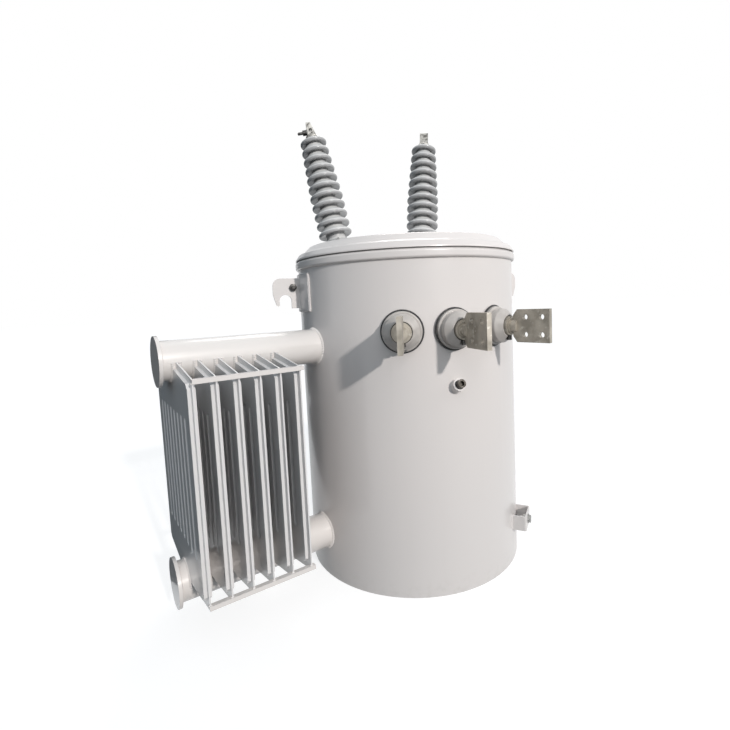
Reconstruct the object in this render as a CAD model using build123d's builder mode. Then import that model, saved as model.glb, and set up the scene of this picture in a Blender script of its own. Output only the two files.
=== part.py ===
# Single-phase pole mounted distribution transformer: a round oil tank with a pressed lid, two shedded
# high-voltage bushings, three low-voltage spade terminals and one side radiator.
# Millimetres, +Z up. The origin is on the tank's axis at the bottom face. The low-voltage side faces -Y,
# the pole side faces +Y and the radiator stands off towards -X, turned 16 degrees to the front.
import os
from math import cos, radians, sin

from build123d import *

# Two measures closer than this are the same
SAME = 0.01

# Tank
TANK_R = 330.0
TANK_WALL = 4.0
TANK_TOP = 908.0
BOTTOM_THICKNESS = 8.0
RIM_HEIGHT = 24.0
RIM_PROUD = 8.0
RIM_FILLET = 7.0

# Lid and its gasket: a sloping lip, a narrow ledge, a shoulder and a crown that is almost flat
GASKET_THICKNESS = 3.0
GASKET_INSET = 4.0
LID_SHEET = 4.0
LID_OVERHANG = 7.0
LID_LIP_EDGE = 3.0
LID_LIP_SLOPE = 10.0
LID_LEDGE_RISE = 3.0
LID_LEDGE_WIDTH = 12.0
LID_LEDGE_HEIGHT = 18.0
LID_SHOULDER_WIDTH = 20.0
LID_SHOULDER_RISE = 20.0
LID_CROWN_RISE = 8.0
LID_CROWN_SLOPE = 170.0
LID_BEND = 8.0
LID_BOTTOM = TANK_TOP + GASKET_THICKNESS
LID_LEDGE_Z = LID_BOTTOM + LID_LEDGE_HEIGHT + LID_LEDGE_RISE
LID_SHOULDER_Z = LID_LEDGE_Z + LID_SHOULDER_RISE
LID_CROWN_Z = LID_SHOULDER_Z + LID_CROWN_RISE
LID_OUTER_R = TANK_R + LID_OVERHANG
LID_INNER_R = TANK_R - TANK_WALL - GASKET_INSET
LID_LEDGE_R = LID_OUTER_R - LID_LIP_SLOPE
LID_FOOT_R = LID_LEDGE_R - LID_LEDGE_WIDTH
LID_SHOULDER_R = LID_FOOT_R - LID_SHOULDER_WIDTH
LID_CROWN_R = LID_SHOULDER_R - LID_CROWN_SLOPE

# High-voltage bushings: one each side of the pole direction, leaning outward
HV_SPREAD = 37.5
HV_TILT = 13.5
HV_INSET = 59.0
HV_RISE = 71.0
SHED_COUNT = 11
SHED_PITCH = 33.1
SHED_R = 58.0
SHED_TOP_R = 46.0
SHEDS_FULL_SIZE = 5
SHED_RIM = 4.5
SHED_ROOT_UNDER = 1.0
SHED_ROOT_OVER = 17.0
SHED_ROOT_INSIDE = 2.0
CORE_R = 29.0
CORE_TOP_R = 24.0
CORE_BASE_R = 40.0
CORE_BASE_HEIGHT = 12.0
CORE_BASE_SLOPE = 8.0
BOSS_R = 46.0
BOSS_BORE_R = 30.0
BOSS_FROM = -95.0
BOSS_FLANGE_FROM = -48.0
BOSS_FLANGE_R = 53.0
BOSS_TOP = -38.0
CAP_R = 25.0
CAP_EDGE = 3.0
CAP_HEIGHT = 15.0
CAP_TAPER = 32.0
CLAMP_WIDTH = 31.0
CLAMP_HEIGHT = 57.0
CLAMP_FOOT_OUTER = 13.0
CLAMP_FOOT_INNER = 17.0
CLAMP_TOP_OUTER = 11.0
CLAMP_TOP_INNER = 4.0
CLAMP_FILLET = 2.0
CLAMP_TURNS = {"left": -41.5, "right": -12.5}
WIRE_BORE_R = 6.5
WIRE_BORE_RISE = 28.0
CLAMP_BOLT_R = 5.0
CLAMP_BOLT_REACH = 46.0
CLAMP_BOLT_POINT = 2.5
CLAMP_NUT_R = 10.5
CLAMP_NUT_LENGTH = 13.0
CLAMP_NUT_FROM = 15.0

# Low-voltage bushings on the front of the tank
LV_SPREAD = 23.5
LV_DROP = 204.0
LV_Z = TANK_TOP - LV_DROP
LV_GASKET_R = 53.0
LV_GASKET_THICKNESS = 4.0
LV_FLANGE_R = 51.0
LV_FLANGE_THICKNESS = 9.0
LV_BODY_R = 45.0
LV_BODY_LENGTH = 19.0
LV_NOSE_R = 29.5
LV_NOSE_LENGTH = 16.0
LV_FLANGE_FILLET = 3.0
LV_STEP_FILLET = 4.0
LV_RECESS_R = 27.2
LV_RECESS_DEPTH = 8.0
LV_NOTCH_WIDTH = 18.0
LV_SHANK_R = 29.0
LV_HOLE_R = 29.5
LV_SHANK_INSIDE = 30.0
LV_HUB_R = 25.0
LV_HUB_LENGTH = 14.0
LV_COLLAR_R = 20.0
LV_COLLAR_LENGTH = 4.0
LV_NECK_R = 16.0

# Spade terminals: a four-hole pad on the usual 44.45 mm square, placed from the tank's surface
SPADE_HOLE_PITCH = 44.45
SPADE_HOLE_R = 7.15
SPADE_HOLES_AT = 119.0
SPADE_ROOT_AT = 63.0
SPADE_SHOULDER_AT = 74.0
SPADE_END_AT = 162.0
SPADE_HEIGHT = 84.0
SPADE_ROOT_HEIGHT = 54.0
SPADE_THICKNESS = 12.0

# Lifting lugs, one each side
LUG_THICKNESS = 10.0
LUG_DROP = 47.0
LUG_HEIGHT = 88.0
LUG_REACH = 82.0
LUG_TIP_RISE = 8.0
LUG_TIP_INSET = 9.0
LUG_CORNER_R = 22.0
LUG_NOTCH_R = 17.5
LUG_NOTCH_REACH = 47.0
LUG_NOTCH_RISE = 22.5
LUG_HOLE_R = 10.5
LUG_HOLE_REACH = 24.0
LUG_HOLE_DROP = 27.0
LUG_TIP_FILLET = 3.0
PAD_THICKNESS = 6.0
PAD_MARGIN = 8.0
PAD_HALF_ANGLE = 15.0
LUG_TOP_Z = TANK_TOP - LUG_DROP
LUG_BOTTOM_Z = LUG_TOP_Z - LUG_HEIGHT
LUG_TIP_Z = LUG_BOTTOM_Z + LUG_TIP_RISE
LUG_NOTCH_Z = LUG_BOTTOM_Z + LUG_NOTCH_RISE
LUG_HOLE_Z = LUG_TOP_Z - LUG_HOLE_DROP

# Level plug under the middle low-voltage terminal
LEVEL_DROP = 148.0
LEVEL_Z = LV_Z - LEVEL_DROP
LEVEL_TILT = 22.0
COUPLING_R = 16.5
COUPLING_LENGTH = 20.0
PLUG_R = 11.0
PLUG_LENGTH = 34.0
PLUG_SOCKET_ACROSS = 12.0
PLUG_SOCKET_DEPTH = 9.0

# Ground bracket low on the front right
GROUND_AZIMUTH = 46.5
GROUND_Z = 116.0
GROUND_LENGTH = 80.0
GROUND_REACH = 38.0
GROUND_HEIGHT = 43.0
GROUND_PLATE = 4.0
GROUND_BEND = 6.0
GROUND_BOLT_R = 6.0
GROUND_HOLE_R = 6.5
GROUND_HEAD_R = 11.0
GROUND_HEAD_LENGTH = 8.0
GROUND_BOLT_INSIDE = 22.0

# Radiator: two headers and six panels. Each panel is a fluted cushion inside a flat welded seam
RADIATOR_AZIMUTH = -74.0
HEADER_UPPER_DROP = 243.0
HEADER_UPPER_Z = TANK_TOP - HEADER_UPPER_DROP
HEADER_LOWER_Z = 127.0
HEADER_R = 48.0
HEADER_WALL = 4.0
HEADER_BEYOND = 29.3
HEADER_CAP_R = 60.0
HEADER_CAP_THICKNESS = 8.0
PANEL_COUNT = 6
PANEL_PITCH = 46.8
PANEL_FIRST_AT = 135.7
PANEL_FIRST = TANK_R + PANEL_FIRST_AT
PANEL_LAST = PANEL_FIRST + (PANEL_COUNT - 1) * PANEL_PITCH
HEADER_END = PANEL_LAST + HEADER_BEYOND
PANEL_HALF_WIDTH = 197.5
PANEL_DROP = 33.0
PANEL_RISE = 34.0
PANEL_TOP_Z = HEADER_UPPER_Z - PANEL_DROP
PANEL_BOTTOM_Z = HEADER_LOWER_Z + PANEL_RISE
PANEL_THICKNESS = 17.0
PANEL_CORNER_FLAT = 9.0
SEAM_THICKNESS = 3.3
SEAM_WIDTH = 14.0
CUSHION_DRAFT = 9.0
CUSHION_CORNER = 12.0
FLUTE_COUNT = 8
FLUTE_PITCH = 39.0
FLUTE_WIDTH = 15.0
FLUTE_DRAFT = 38.0
FLUTE_MARGIN = 77.0
TIE_BAR_HEIGHT = 10.0
TIE_BAR_DEPTH = 12.0
TIE_BAR_OVERHANG = 9.4
TIE_BAR_GAP = 1.0

# Pole brackets on the back: bolts at the 590.55 mm spacing of such transformers
BRACKET_SPACING = 590.55
BRACKET_MIDDLE_Z = 450.0
BRACKET_WIDTH = 110.0
BRACKET_HEIGHT = 110.0
BRACKET_REACH = 60.0
BRACKET_PLATE = 8.0
BRACKET_BEND = 12.0
SLOT_R = 10.3
SLOT_LENGTH = 42.0


def outward(azimuth):
    """Unit vector away from the tank's axis at an azimuth from -Y towards +X."""
    return Vector(sin(radians(azimuth)), -cos(radians(azimuth)), 0)


def sideways(azimuth):
    """Unit vector along the tank's surface at that azimuth."""
    return Vector(cos(radians(azimuth)), sin(radians(azimuth)), 0)


def wall_plane(azimuth, z, reach=0.0):
    """Plane facing outward: local x runs along the surface, local y is up."""
    origin = outward(azimuth) * reach + Vector(0, 0, z)
    return Plane(origin=origin, x_dir=sideways(azimuth), z_dir=outward(azimuth))


def section_plane(azimuth, z=0.0):
    """Plane through the tank's axis: local x is the distance from the axis, local y is up."""
    return Plane(origin=(0, 0, z), x_dir=outward(azimuth), z_dir=-sideways(azimuth))


def finish(part, name):
    part.label = name
    export_step(part, f"parts/{name}.step")


def hv_plane(azimuth):
    """Plane across a bushing at its lowest shed: local z runs up its axis, local y leans outward."""
    axis = outward(azimuth) * sin(radians(HV_TILT)) + Vector(0, 0, cos(radians(HV_TILT)))
    origin = outward(azimuth) * (TANK_R - HV_INSET) + Vector(0, 0, LID_SHOULDER_Z + HV_RISE)
    return Plane(origin=origin, x_dir=-sideways(azimuth), z_dir=axis)


def axial(plane):
    """Plane through a bushing's axis: local x is the radius, local y runs up the axis."""
    return Plane(origin=plane.origin, x_dir=plane.x_dir, z_dir=-plane.y_dir)


os.makedirs("parts", exist_ok=True)

lv_azimuths = {"left": -LV_SPREAD, "centre": 0.0, "right": LV_SPREAD}
hv_azimuths = {"left": 180 + HV_SPREAD, "right": 180 - HV_SPREAD}
lug_azimuths = {"left": -90.0, "right": 90.0}

# Tank shell with its rolled rim, open at the low-voltage bushings and the headers
with BuildPart() as tank_shell:
    with BuildSketch(Plane.XY):
        Circle(TANK_R)
        Circle(TANK_R - TANK_WALL, mode=Mode.SUBTRACT)
    extrude(amount=TANK_TOP)
    with BuildSketch(Plane.XY.offset(TANK_TOP - RIM_HEIGHT)):
        Circle(TANK_R + RIM_PROUD)
        Circle(TANK_R - TANK_WALL, mode=Mode.SUBTRACT)
    extrude(amount=RIM_HEIGHT)
    rim_edges = tank_shell.edges().filter_by(GeomType.CIRCLE)
    rim_edges = rim_edges.filter_by(lambda edge: abs(edge.radius - TANK_R - RIM_PROUD) < SAME)
    fillet(rim_edges, RIM_FILLET)
    for azimuth in lv_azimuths.values():
        with BuildSketch(wall_plane(azimuth, LV_Z, TANK_R / 2)):
            Circle(LV_HOLE_R)
        extrude(amount=TANK_R, mode=Mode.SUBTRACT)
    for height in (HEADER_UPPER_Z, HEADER_LOWER_Z):
        with BuildSketch(wall_plane(RADIATOR_AZIMUTH, height, TANK_R / 2)):
            Circle(HEADER_R - HEADER_WALL)
        extrude(amount=TANK_R, mode=Mode.SUBTRACT)
finish(tank_shell.part, "tank_shell")

with BuildPart() as tank_bottom:
    with BuildSketch(Plane.XY):
        Circle(TANK_R - TANK_WALL)
    extrude(amount=BOTTOM_THICKNESS)
finish(tank_bottom.part, "tank_bottom")

with BuildPart() as lid_gasket:
    with BuildSketch(Plane.XY.offset(TANK_TOP)):
        Circle(LID_OUTER_R - GASKET_INSET)
        Circle(LID_INNER_R, mode=Mode.SUBTRACT)
    extrude(amount=GASKET_THICKNESS)
finish(lid_gasket.part, "lid_gasket")

# Pressed lid, with a hole for each bushing's boss
with BuildPart() as lid:
    with BuildSketch(Plane.XZ):
        with BuildLine():
            upper = FilletPolyline(
                (LID_OUTER_R, LID_BOTTOM),
                (LID_OUTER_R, LID_BOTTOM + LID_LIP_EDGE),
                (LID_LEDGE_R, LID_BOTTOM + LID_LEDGE_HEIGHT),
                (LID_FOOT_R, LID_LEDGE_Z),
                (LID_SHOULDER_R, LID_SHOULDER_Z),
                (LID_CROWN_R, LID_CROWN_Z),
                (0, LID_CROWN_Z),
                radius=LID_BEND,
            )
            Polyline(
                upper @ 1,
                (0, LID_CROWN_Z - LID_SHEET),
                (LID_CROWN_R, LID_CROWN_Z - LID_SHEET),
                (LID_SHOULDER_R - LID_SHEET / 2, LID_SHOULDER_Z - LID_SHEET),
                (LID_FOOT_R - LID_SHEET / 2, LID_LEDGE_Z - LID_SHEET),
                (LID_INNER_R, LID_LEDGE_Z - LID_LEDGE_RISE - LID_SHEET),
                (LID_INNER_R, LID_BOTTOM),
                upper @ 0,
            )
        make_face()
    revolve(axis=Axis.Z)
    for azimuth in hv_azimuths.values():
        with BuildSketch(hv_plane(azimuth).offset(BOSS_FROM)):
            Circle(BOSS_R)
        extrude(amount=BOSS_FLANGE_FROM - BOSS_FROM, mode=Mode.SUBTRACT)
finish(lid.part, "lid")

# High-voltage bushings: boss, porcelain with its sheds, capped terminal and clamp bolt
for side, azimuth in hv_azimuths.items():
    seat = hv_plane(azimuth)
    with BuildPart() as hv_boss:
        with BuildSketch(seat.offset(BOSS_FROM)):
            Circle(BOSS_R)
            Circle(BOSS_BORE_R, mode=Mode.SUBTRACT)
        extrude(amount=BOSS_TOP - BOSS_FROM)
        with BuildSketch(seat.offset(BOSS_FLANGE_FROM)):
            Circle(BOSS_FLANGE_R)
            Circle(BOSS_BORE_R, mode=Mode.SUBTRACT)
        extrude(amount=BOSS_TOP - BOSS_FLANGE_FROM)
    finish(hv_boss.part, f"hv_boss_{side}")

    core_top = (SHED_COUNT - 1) * SHED_PITCH + SHED_ROOT_OVER
    with BuildPart() as hv_bushing:
        with BuildSketch(axial(seat)):
            with BuildLine():
                Polyline(
                    (0, BOSS_TOP),
                    (CORE_BASE_R, BOSS_TOP),
                    (CORE_BASE_R, BOSS_TOP + CORE_BASE_HEIGHT),
                    (CORE_R, BOSS_TOP + CORE_BASE_HEIGHT + CORE_BASE_SLOPE),
                    (CORE_TOP_R, core_top),
                    (0, core_top),
                    close=True,
                )
            make_face()
            for number in range(SHED_COUNT):
                height = number * SHED_PITCH
                steps = max(0, number - SHEDS_FULL_SIZE + 1) / (SHED_COUNT - SHEDS_FULL_SIZE)
                rim = SHED_R + (SHED_TOP_R - SHED_R) * steps
                root = CORE_TOP_R - SHED_ROOT_INSIDE
                with BuildLine():
                    under = Line((root, height - SHED_ROOT_UNDER), (rim - SHED_RIM, height - SHED_RIM))
                    edge = ThreePointArc(under @ 1, (rim, height), (rim - SHED_RIM, height + SHED_RIM))
                    over = Line(edge @ 1, (root, height + SHED_ROOT_OVER))
                    Line(over @ 1, under @ 0)
                make_face()
        revolve(axis=Axis(seat.origin, seat.z_dir))
    finish(hv_bushing.part, f"hv_bushing_{side}")

    # The clamp stands on the cap, turned about the bushing: local x faces its bolt, local y runs up the axis
    turn = radians(CLAMP_TURNS[side])
    bolt_way = seat.y_dir * cos(turn) + seat.x_dir * sin(turn)
    clamp_plane = Plane(
        origin=seat.origin + seat.z_dir * core_top,
        x_dir=bolt_way,
        z_dir=bolt_way.cross(seat.z_dir),
    )
    bolt_plane = Plane(
        origin=seat.origin + seat.z_dir * (core_top + WIRE_BORE_RISE),
        x_dir=seat.z_dir,
        z_dir=bolt_way,
    )
    with BuildPart() as hv_terminal:
        with BuildSketch(clamp_plane):
            with BuildLine():
                Polyline(
                    (CLAMP_FOOT_OUTER, CAP_EDGE),
                    (CLAMP_TOP_OUTER, CLAMP_HEIGHT),
                    (-CLAMP_TOP_INNER, CLAMP_HEIGHT),
                    (-CLAMP_FOOT_INNER, CAP_EDGE),
                    close=True,
                )
            make_face()
        extrude(amount=CLAMP_WIDTH / 2, both=True)
        fillet(hv_terminal.faces().sort_by(Axis(seat.origin, seat.z_dir))[-1].edges(), CLAMP_FILLET)
        with BuildSketch(clamp_plane):
            with Locations((0, WIRE_BORE_RISE)):
                Circle(WIRE_BORE_R)
        extrude(amount=CLAMP_WIDTH, both=True, mode=Mode.SUBTRACT)
        with BuildSketch(bolt_plane):
            Circle(CLAMP_BOLT_R)
        extrude(amount=CLAMP_FOOT_OUTER * 2, mode=Mode.SUBTRACT)
        with BuildSketch(seat.offset(core_top)):
            Circle(CAP_R)
        extrude(amount=CAP_EDGE)
        with BuildSketch(seat.offset(core_top + CAP_EDGE)):
            Circle(CAP_R)
        extrude(amount=CAP_HEIGHT - CAP_EDGE, taper=CAP_TAPER)
    finish(hv_terminal.part, f"hv_terminal_{side}")

    with BuildPart() as hv_clamp_bolt:
        with BuildSketch(bolt_plane.offset(WIRE_BORE_R)):
            Circle(CLAMP_BOLT_R)
        extrude(amount=CLAMP_BOLT_REACH - WIRE_BORE_R)
        tip_edge = hv_clamp_bolt.edges().filter_by(GeomType.CIRCLE).sort_by(Axis(seat.origin, bolt_way))[-1]
        chamfer(tip_edge, CLAMP_BOLT_POINT)
        with BuildSketch(bolt_plane.offset(CLAMP_NUT_FROM)):
            RegularPolygon(CLAMP_NUT_R, 6)
        extrude(amount=CLAMP_NUT_LENGTH)
    finish(hv_clamp_bolt.part, f"hv_clamp_bolt_{side}")

# Low-voltage bushings: gasket, moulded body and the tinned terminal with its four-hole spade
for side, azimuth in lv_azimuths.items():
    face = TANK_R + LV_GASKET_THICKNESS
    step = face + LV_FLANGE_THICKNESS + LV_BODY_LENGTH
    front = step + LV_NOSE_LENGTH
    hub_end = front - LV_RECESS_DEPTH + LV_HUB_LENGTH
    with BuildPart() as lv_gasket:
        with BuildSketch(wall_plane(azimuth, LV_Z, TANK_R - 2 * LV_GASKET_THICKNESS)):
            Circle(LV_GASKET_R)
            Circle(LV_SHANK_R, mode=Mode.SUBTRACT)
        extrude(amount=3 * LV_GASKET_THICKNESS)
        with BuildSketch(Plane.XY):
            Circle(TANK_R)
        extrude(amount=TANK_TOP, mode=Mode.SUBTRACT)
    finish(lv_gasket.part, f"lv_gasket_{side}")

    with BuildPart() as lv_bushing:
        with BuildSketch(section_plane(azimuth, LV_Z)):
            with BuildLine():
                Polyline(
                    (TANK_R - LV_SHANK_INSIDE, 0),
                    (TANK_R - LV_SHANK_INSIDE, LV_SHANK_R),
                    (face, LV_SHANK_R),
                    (face, LV_FLANGE_R),
                    (face + LV_FLANGE_THICKNESS, LV_FLANGE_R),
                    (face + LV_FLANGE_THICKNESS, LV_BODY_R),
                    (step, LV_BODY_R),
                    (front, LV_NOSE_R),
                    (front, LV_RECESS_R),
                    (front - LV_RECESS_DEPTH, LV_RECESS_R),
                    (front - LV_RECESS_DEPTH, 0),
                    close=True,
                )
            make_face()
        revolve(axis=Axis((0, 0, LV_Z), outward(azimuth)))
        away = Axis((0, 0, LV_Z), outward(azimuth))
        for radius, rounding in ((LV_FLANGE_R, LV_FLANGE_FILLET), (LV_BODY_R, LV_STEP_FILLET)):
            rims = lv_bushing.edges().filter_by(GeomType.CIRCLE)
            rims = rims.filter_by(lambda edge: abs(edge.radius - radius) < SAME)
            fillet(rims.sort_by(away)[-1], rounding)
        with BuildSketch(wall_plane(azimuth, LV_Z, front)):
            with Locations((0, -LV_BODY_R / 2)):
                Rectangle(LV_NOTCH_WIDTH, LV_BODY_R)
        extrude(amount=-LV_RECESS_DEPTH, mode=Mode.SUBTRACT)
    finish(lv_bushing.part, f"lv_bushing_{side}")

    with BuildPart() as lv_terminal:
        with BuildSketch(wall_plane(azimuth, LV_Z, front - LV_RECESS_DEPTH)):
            Circle(LV_HUB_R)
        extrude(amount=LV_HUB_LENGTH)
        with BuildSketch(wall_plane(azimuth, LV_Z, hub_end)):
            Circle(LV_COLLAR_R)
        extrude(amount=LV_COLLAR_LENGTH)
        with BuildSketch(wall_plane(azimuth, LV_Z, hub_end)):
            Circle(LV_NECK_R)
        extrude(amount=TANK_R + SPADE_SHOULDER_AT - hub_end)
        with BuildSketch(section_plane(azimuth, LV_Z)):
            with BuildLine():
                Polyline(
                    (TANK_R + SPADE_ROOT_AT, -SPADE_ROOT_HEIGHT / 2),
                    (TANK_R + SPADE_SHOULDER_AT, -SPADE_HEIGHT / 2),
                    (TANK_R + SPADE_END_AT, -SPADE_HEIGHT / 2),
                    (TANK_R + SPADE_END_AT, SPADE_HEIGHT / 2),
                    (TANK_R + SPADE_SHOULDER_AT, SPADE_HEIGHT / 2),
                    (TANK_R + SPADE_ROOT_AT, SPADE_ROOT_HEIGHT / 2),
                    close=True,
                )
            make_face()
            with Locations((TANK_R + SPADE_HOLES_AT, 0)):
                with GridLocations(SPADE_HOLE_PITCH, SPADE_HOLE_PITCH, 2, 2):
                    Circle(SPADE_HOLE_R, mode=Mode.SUBTRACT)
        extrude(amount=SPADE_THICKNESS / 2, both=True)
    finish(lv_terminal.part, f"lv_terminal_{side}")

# Lifting lugs: a hooked plate on a pad that is rolled to the tank
for side, azimuth in lug_azimuths.items():
    face = TANK_R + PAD_THICKNESS
    with BuildPart() as lug_pad:
        with BuildSketch(Plane.XY.offset(LUG_BOTTOM_Z - PAD_MARGIN)):
            Circle(face)
            Circle(TANK_R, mode=Mode.SUBTRACT)
            with BuildLine():
                reach = 2 * TANK_R
                Polyline(
                    (0, 0),
                    tuple(outward(azimuth - PAD_HALF_ANGLE) * reach)[:2],
                    tuple(outward(azimuth + PAD_HALF_ANGLE) * reach)[:2],
                    close=True,
                )
            make_face(mode=Mode.INTERSECT)
        extrude(amount=LUG_HEIGHT + 2 * PAD_MARGIN)
    finish(lug_pad.part, f"lug_pad_{side}")

    tip = TANK_R + LUG_REACH
    with BuildPart() as lifting_lug:
        with BuildSketch(section_plane(azimuth)):
            with BuildLine():
                Polyline(
                    (TANK_R, LUG_TOP_Z),
                    (tip, LUG_TOP_Z),
                    (tip, LUG_NOTCH_Z + LUG_NOTCH_R),
                    (tip - LUG_TIP_INSET, LUG_TIP_Z),
                    (TANK_R + LUG_NOTCH_REACH + LUG_NOTCH_R, LUG_TIP_Z),
                    (TANK_R + LUG_NOTCH_REACH + LUG_NOTCH_R, LUG_NOTCH_Z),
                    (TANK_R + LUG_NOTCH_REACH - LUG_NOTCH_R, LUG_NOTCH_Z),
                    (TANK_R + LUG_NOTCH_REACH - LUG_NOTCH_R, LUG_BOTTOM_Z),
                    (TANK_R, LUG_BOTTOM_Z),
                    close=True,
                )
            make_face()
            with Locations((TANK_R + LUG_NOTCH_REACH, LUG_NOTCH_Z)):
                Circle(LUG_NOTCH_R, mode=Mode.SUBTRACT)
            with Locations((TANK_R + LUG_HOLE_REACH, LUG_HOLE_Z)):
                Circle(LUG_HOLE_R, mode=Mode.SUBTRACT)
        extrude(amount=LUG_THICKNESS / 2, both=True)
        crosswise = lifting_lug.edges().filter_by(Axis(origin=(0, 0, 0), direction=sideways(azimuth)))
        top_edges = crosswise.filter_by(lambda edge: abs(edge.center().Z - LUG_TOP_Z) < SAME)
        along = Axis(origin=(0, 0, 0), direction=outward(azimuth))
        fillet(top_edges.sort_by(along)[-1], LUG_CORNER_R)
        crosswise = lifting_lug.edges().filter_by(Axis(origin=(0, 0, 0), direction=sideways(azimuth)))
        fillet(crosswise.filter_by(lambda edge: abs(edge.center().Z - LUG_TIP_Z) < SAME), LUG_TIP_FILLET)
        with BuildSketch(Plane.XY):
            Circle(face)
        extrude(amount=TANK_TOP, mode=Mode.SUBTRACT)
    finish(lifting_lug.part, f"lifting_lug_{side}")

# Level coupling and plug, pointing a little upward
level_axis = outward(0) * cos(radians(LEVEL_TILT)) + Vector(0, 0, sin(radians(LEVEL_TILT)))
level_plane = Plane(origin=outward(0) * TANK_R + Vector(0, 0, LEVEL_Z), x_dir=sideways(0), z_dir=level_axis)
with BuildPart() as level_coupling:
    with BuildSketch(level_plane.offset(-COUPLING_R)):
        Circle(COUPLING_R)
    extrude(amount=COUPLING_R + COUPLING_LENGTH)
    with BuildSketch(Plane.XY):
        Circle(TANK_R)
    extrude(amount=TANK_TOP, mode=Mode.SUBTRACT)
finish(level_coupling.part, "level_coupling")

with BuildPart() as level_plug:
    with BuildSketch(level_plane.offset(COUPLING_LENGTH)):
        Circle(PLUG_R)
    extrude(amount=PLUG_LENGTH - COUPLING_LENGTH)
    with BuildSketch(level_plane.offset(PLUG_LENGTH)):
        RegularPolygon(PLUG_SOCKET_ACROSS / 2, 6, major_radius=False)
    extrude(amount=-PLUG_SOCKET_DEPTH, mode=Mode.SUBTRACT)
finish(level_plug.part, "level_plug")

# Ground bracket: a bent channel with the ground bolt through its web
with BuildPart() as ground_bracket:
    with BuildSketch(wall_plane(GROUND_AZIMUTH, GROUND_Z, TANK_R - GROUND_PLATE * 2)):
        Rectangle(GROUND_LENGTH, GROUND_HEIGHT)
    extrude(amount=GROUND_REACH + GROUND_PLATE * 2)
    bends = ground_bracket.edges().filter_by(Axis.Z).sort_by(Axis((0, 0, 0), outward(GROUND_AZIMUTH)))
    fillet(bends[-2:], GROUND_BEND)
    with BuildSketch(wall_plane(GROUND_AZIMUTH, GROUND_Z, TANK_R - GROUND_PLATE * 2)):
        Rectangle(GROUND_LENGTH - 2 * GROUND_PLATE, GROUND_HEIGHT)
    extrude(amount=GROUND_REACH + GROUND_PLATE, mode=Mode.SUBTRACT)
    with BuildSketch(wall_plane(GROUND_AZIMUTH, GROUND_Z, TANK_R)):
        Circle(GROUND_HOLE_R)
    extrude(amount=2 * GROUND_REACH, mode=Mode.SUBTRACT)
    with BuildSketch(Plane.XY):
        Circle(TANK_R)
    extrude(amount=TANK_TOP, mode=Mode.SUBTRACT)
finish(ground_bracket.part, "ground_bracket")

with BuildPart() as ground_bolt:
    with BuildSketch(wall_plane(GROUND_AZIMUTH, GROUND_Z, TANK_R + GROUND_REACH)):
        RegularPolygon(GROUND_HEAD_R, 6)
    extrude(amount=GROUND_HEAD_LENGTH)
    with BuildSketch(wall_plane(GROUND_AZIMUTH, GROUND_Z, TANK_R + GROUND_REACH - GROUND_BOLT_INSIDE)):
        Circle(GROUND_BOLT_R)
    extrude(amount=GROUND_BOLT_INSIDE)
finish(ground_bolt.part, "ground_bolt")

# Radiator headers, their end caps, the panels and the tie bars
for level, height in (("upper", HEADER_UPPER_Z), ("lower", HEADER_LOWER_Z)):
    with BuildPart() as header:
        with BuildSketch(wall_plane(RADIATOR_AZIMUTH, height, TANK_R / 2)):
            Circle(HEADER_R)
            Circle(HEADER_R - HEADER_WALL, mode=Mode.SUBTRACT)
        extrude(amount=HEADER_END - TANK_R / 2)
        with BuildSketch(Plane.XY):
            Circle(TANK_R)
        extrude(amount=TANK_TOP, mode=Mode.SUBTRACT)
    finish(header.part, f"header_{level}")

    with BuildPart() as header_cap:
        with BuildSketch(wall_plane(RADIATOR_AZIMUTH, height, HEADER_END)):
            Circle(HEADER_CAP_R)
        extrude(amount=HEADER_CAP_THICKNESS)
    finish(header_cap.part, f"header_cap_{level}")

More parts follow.
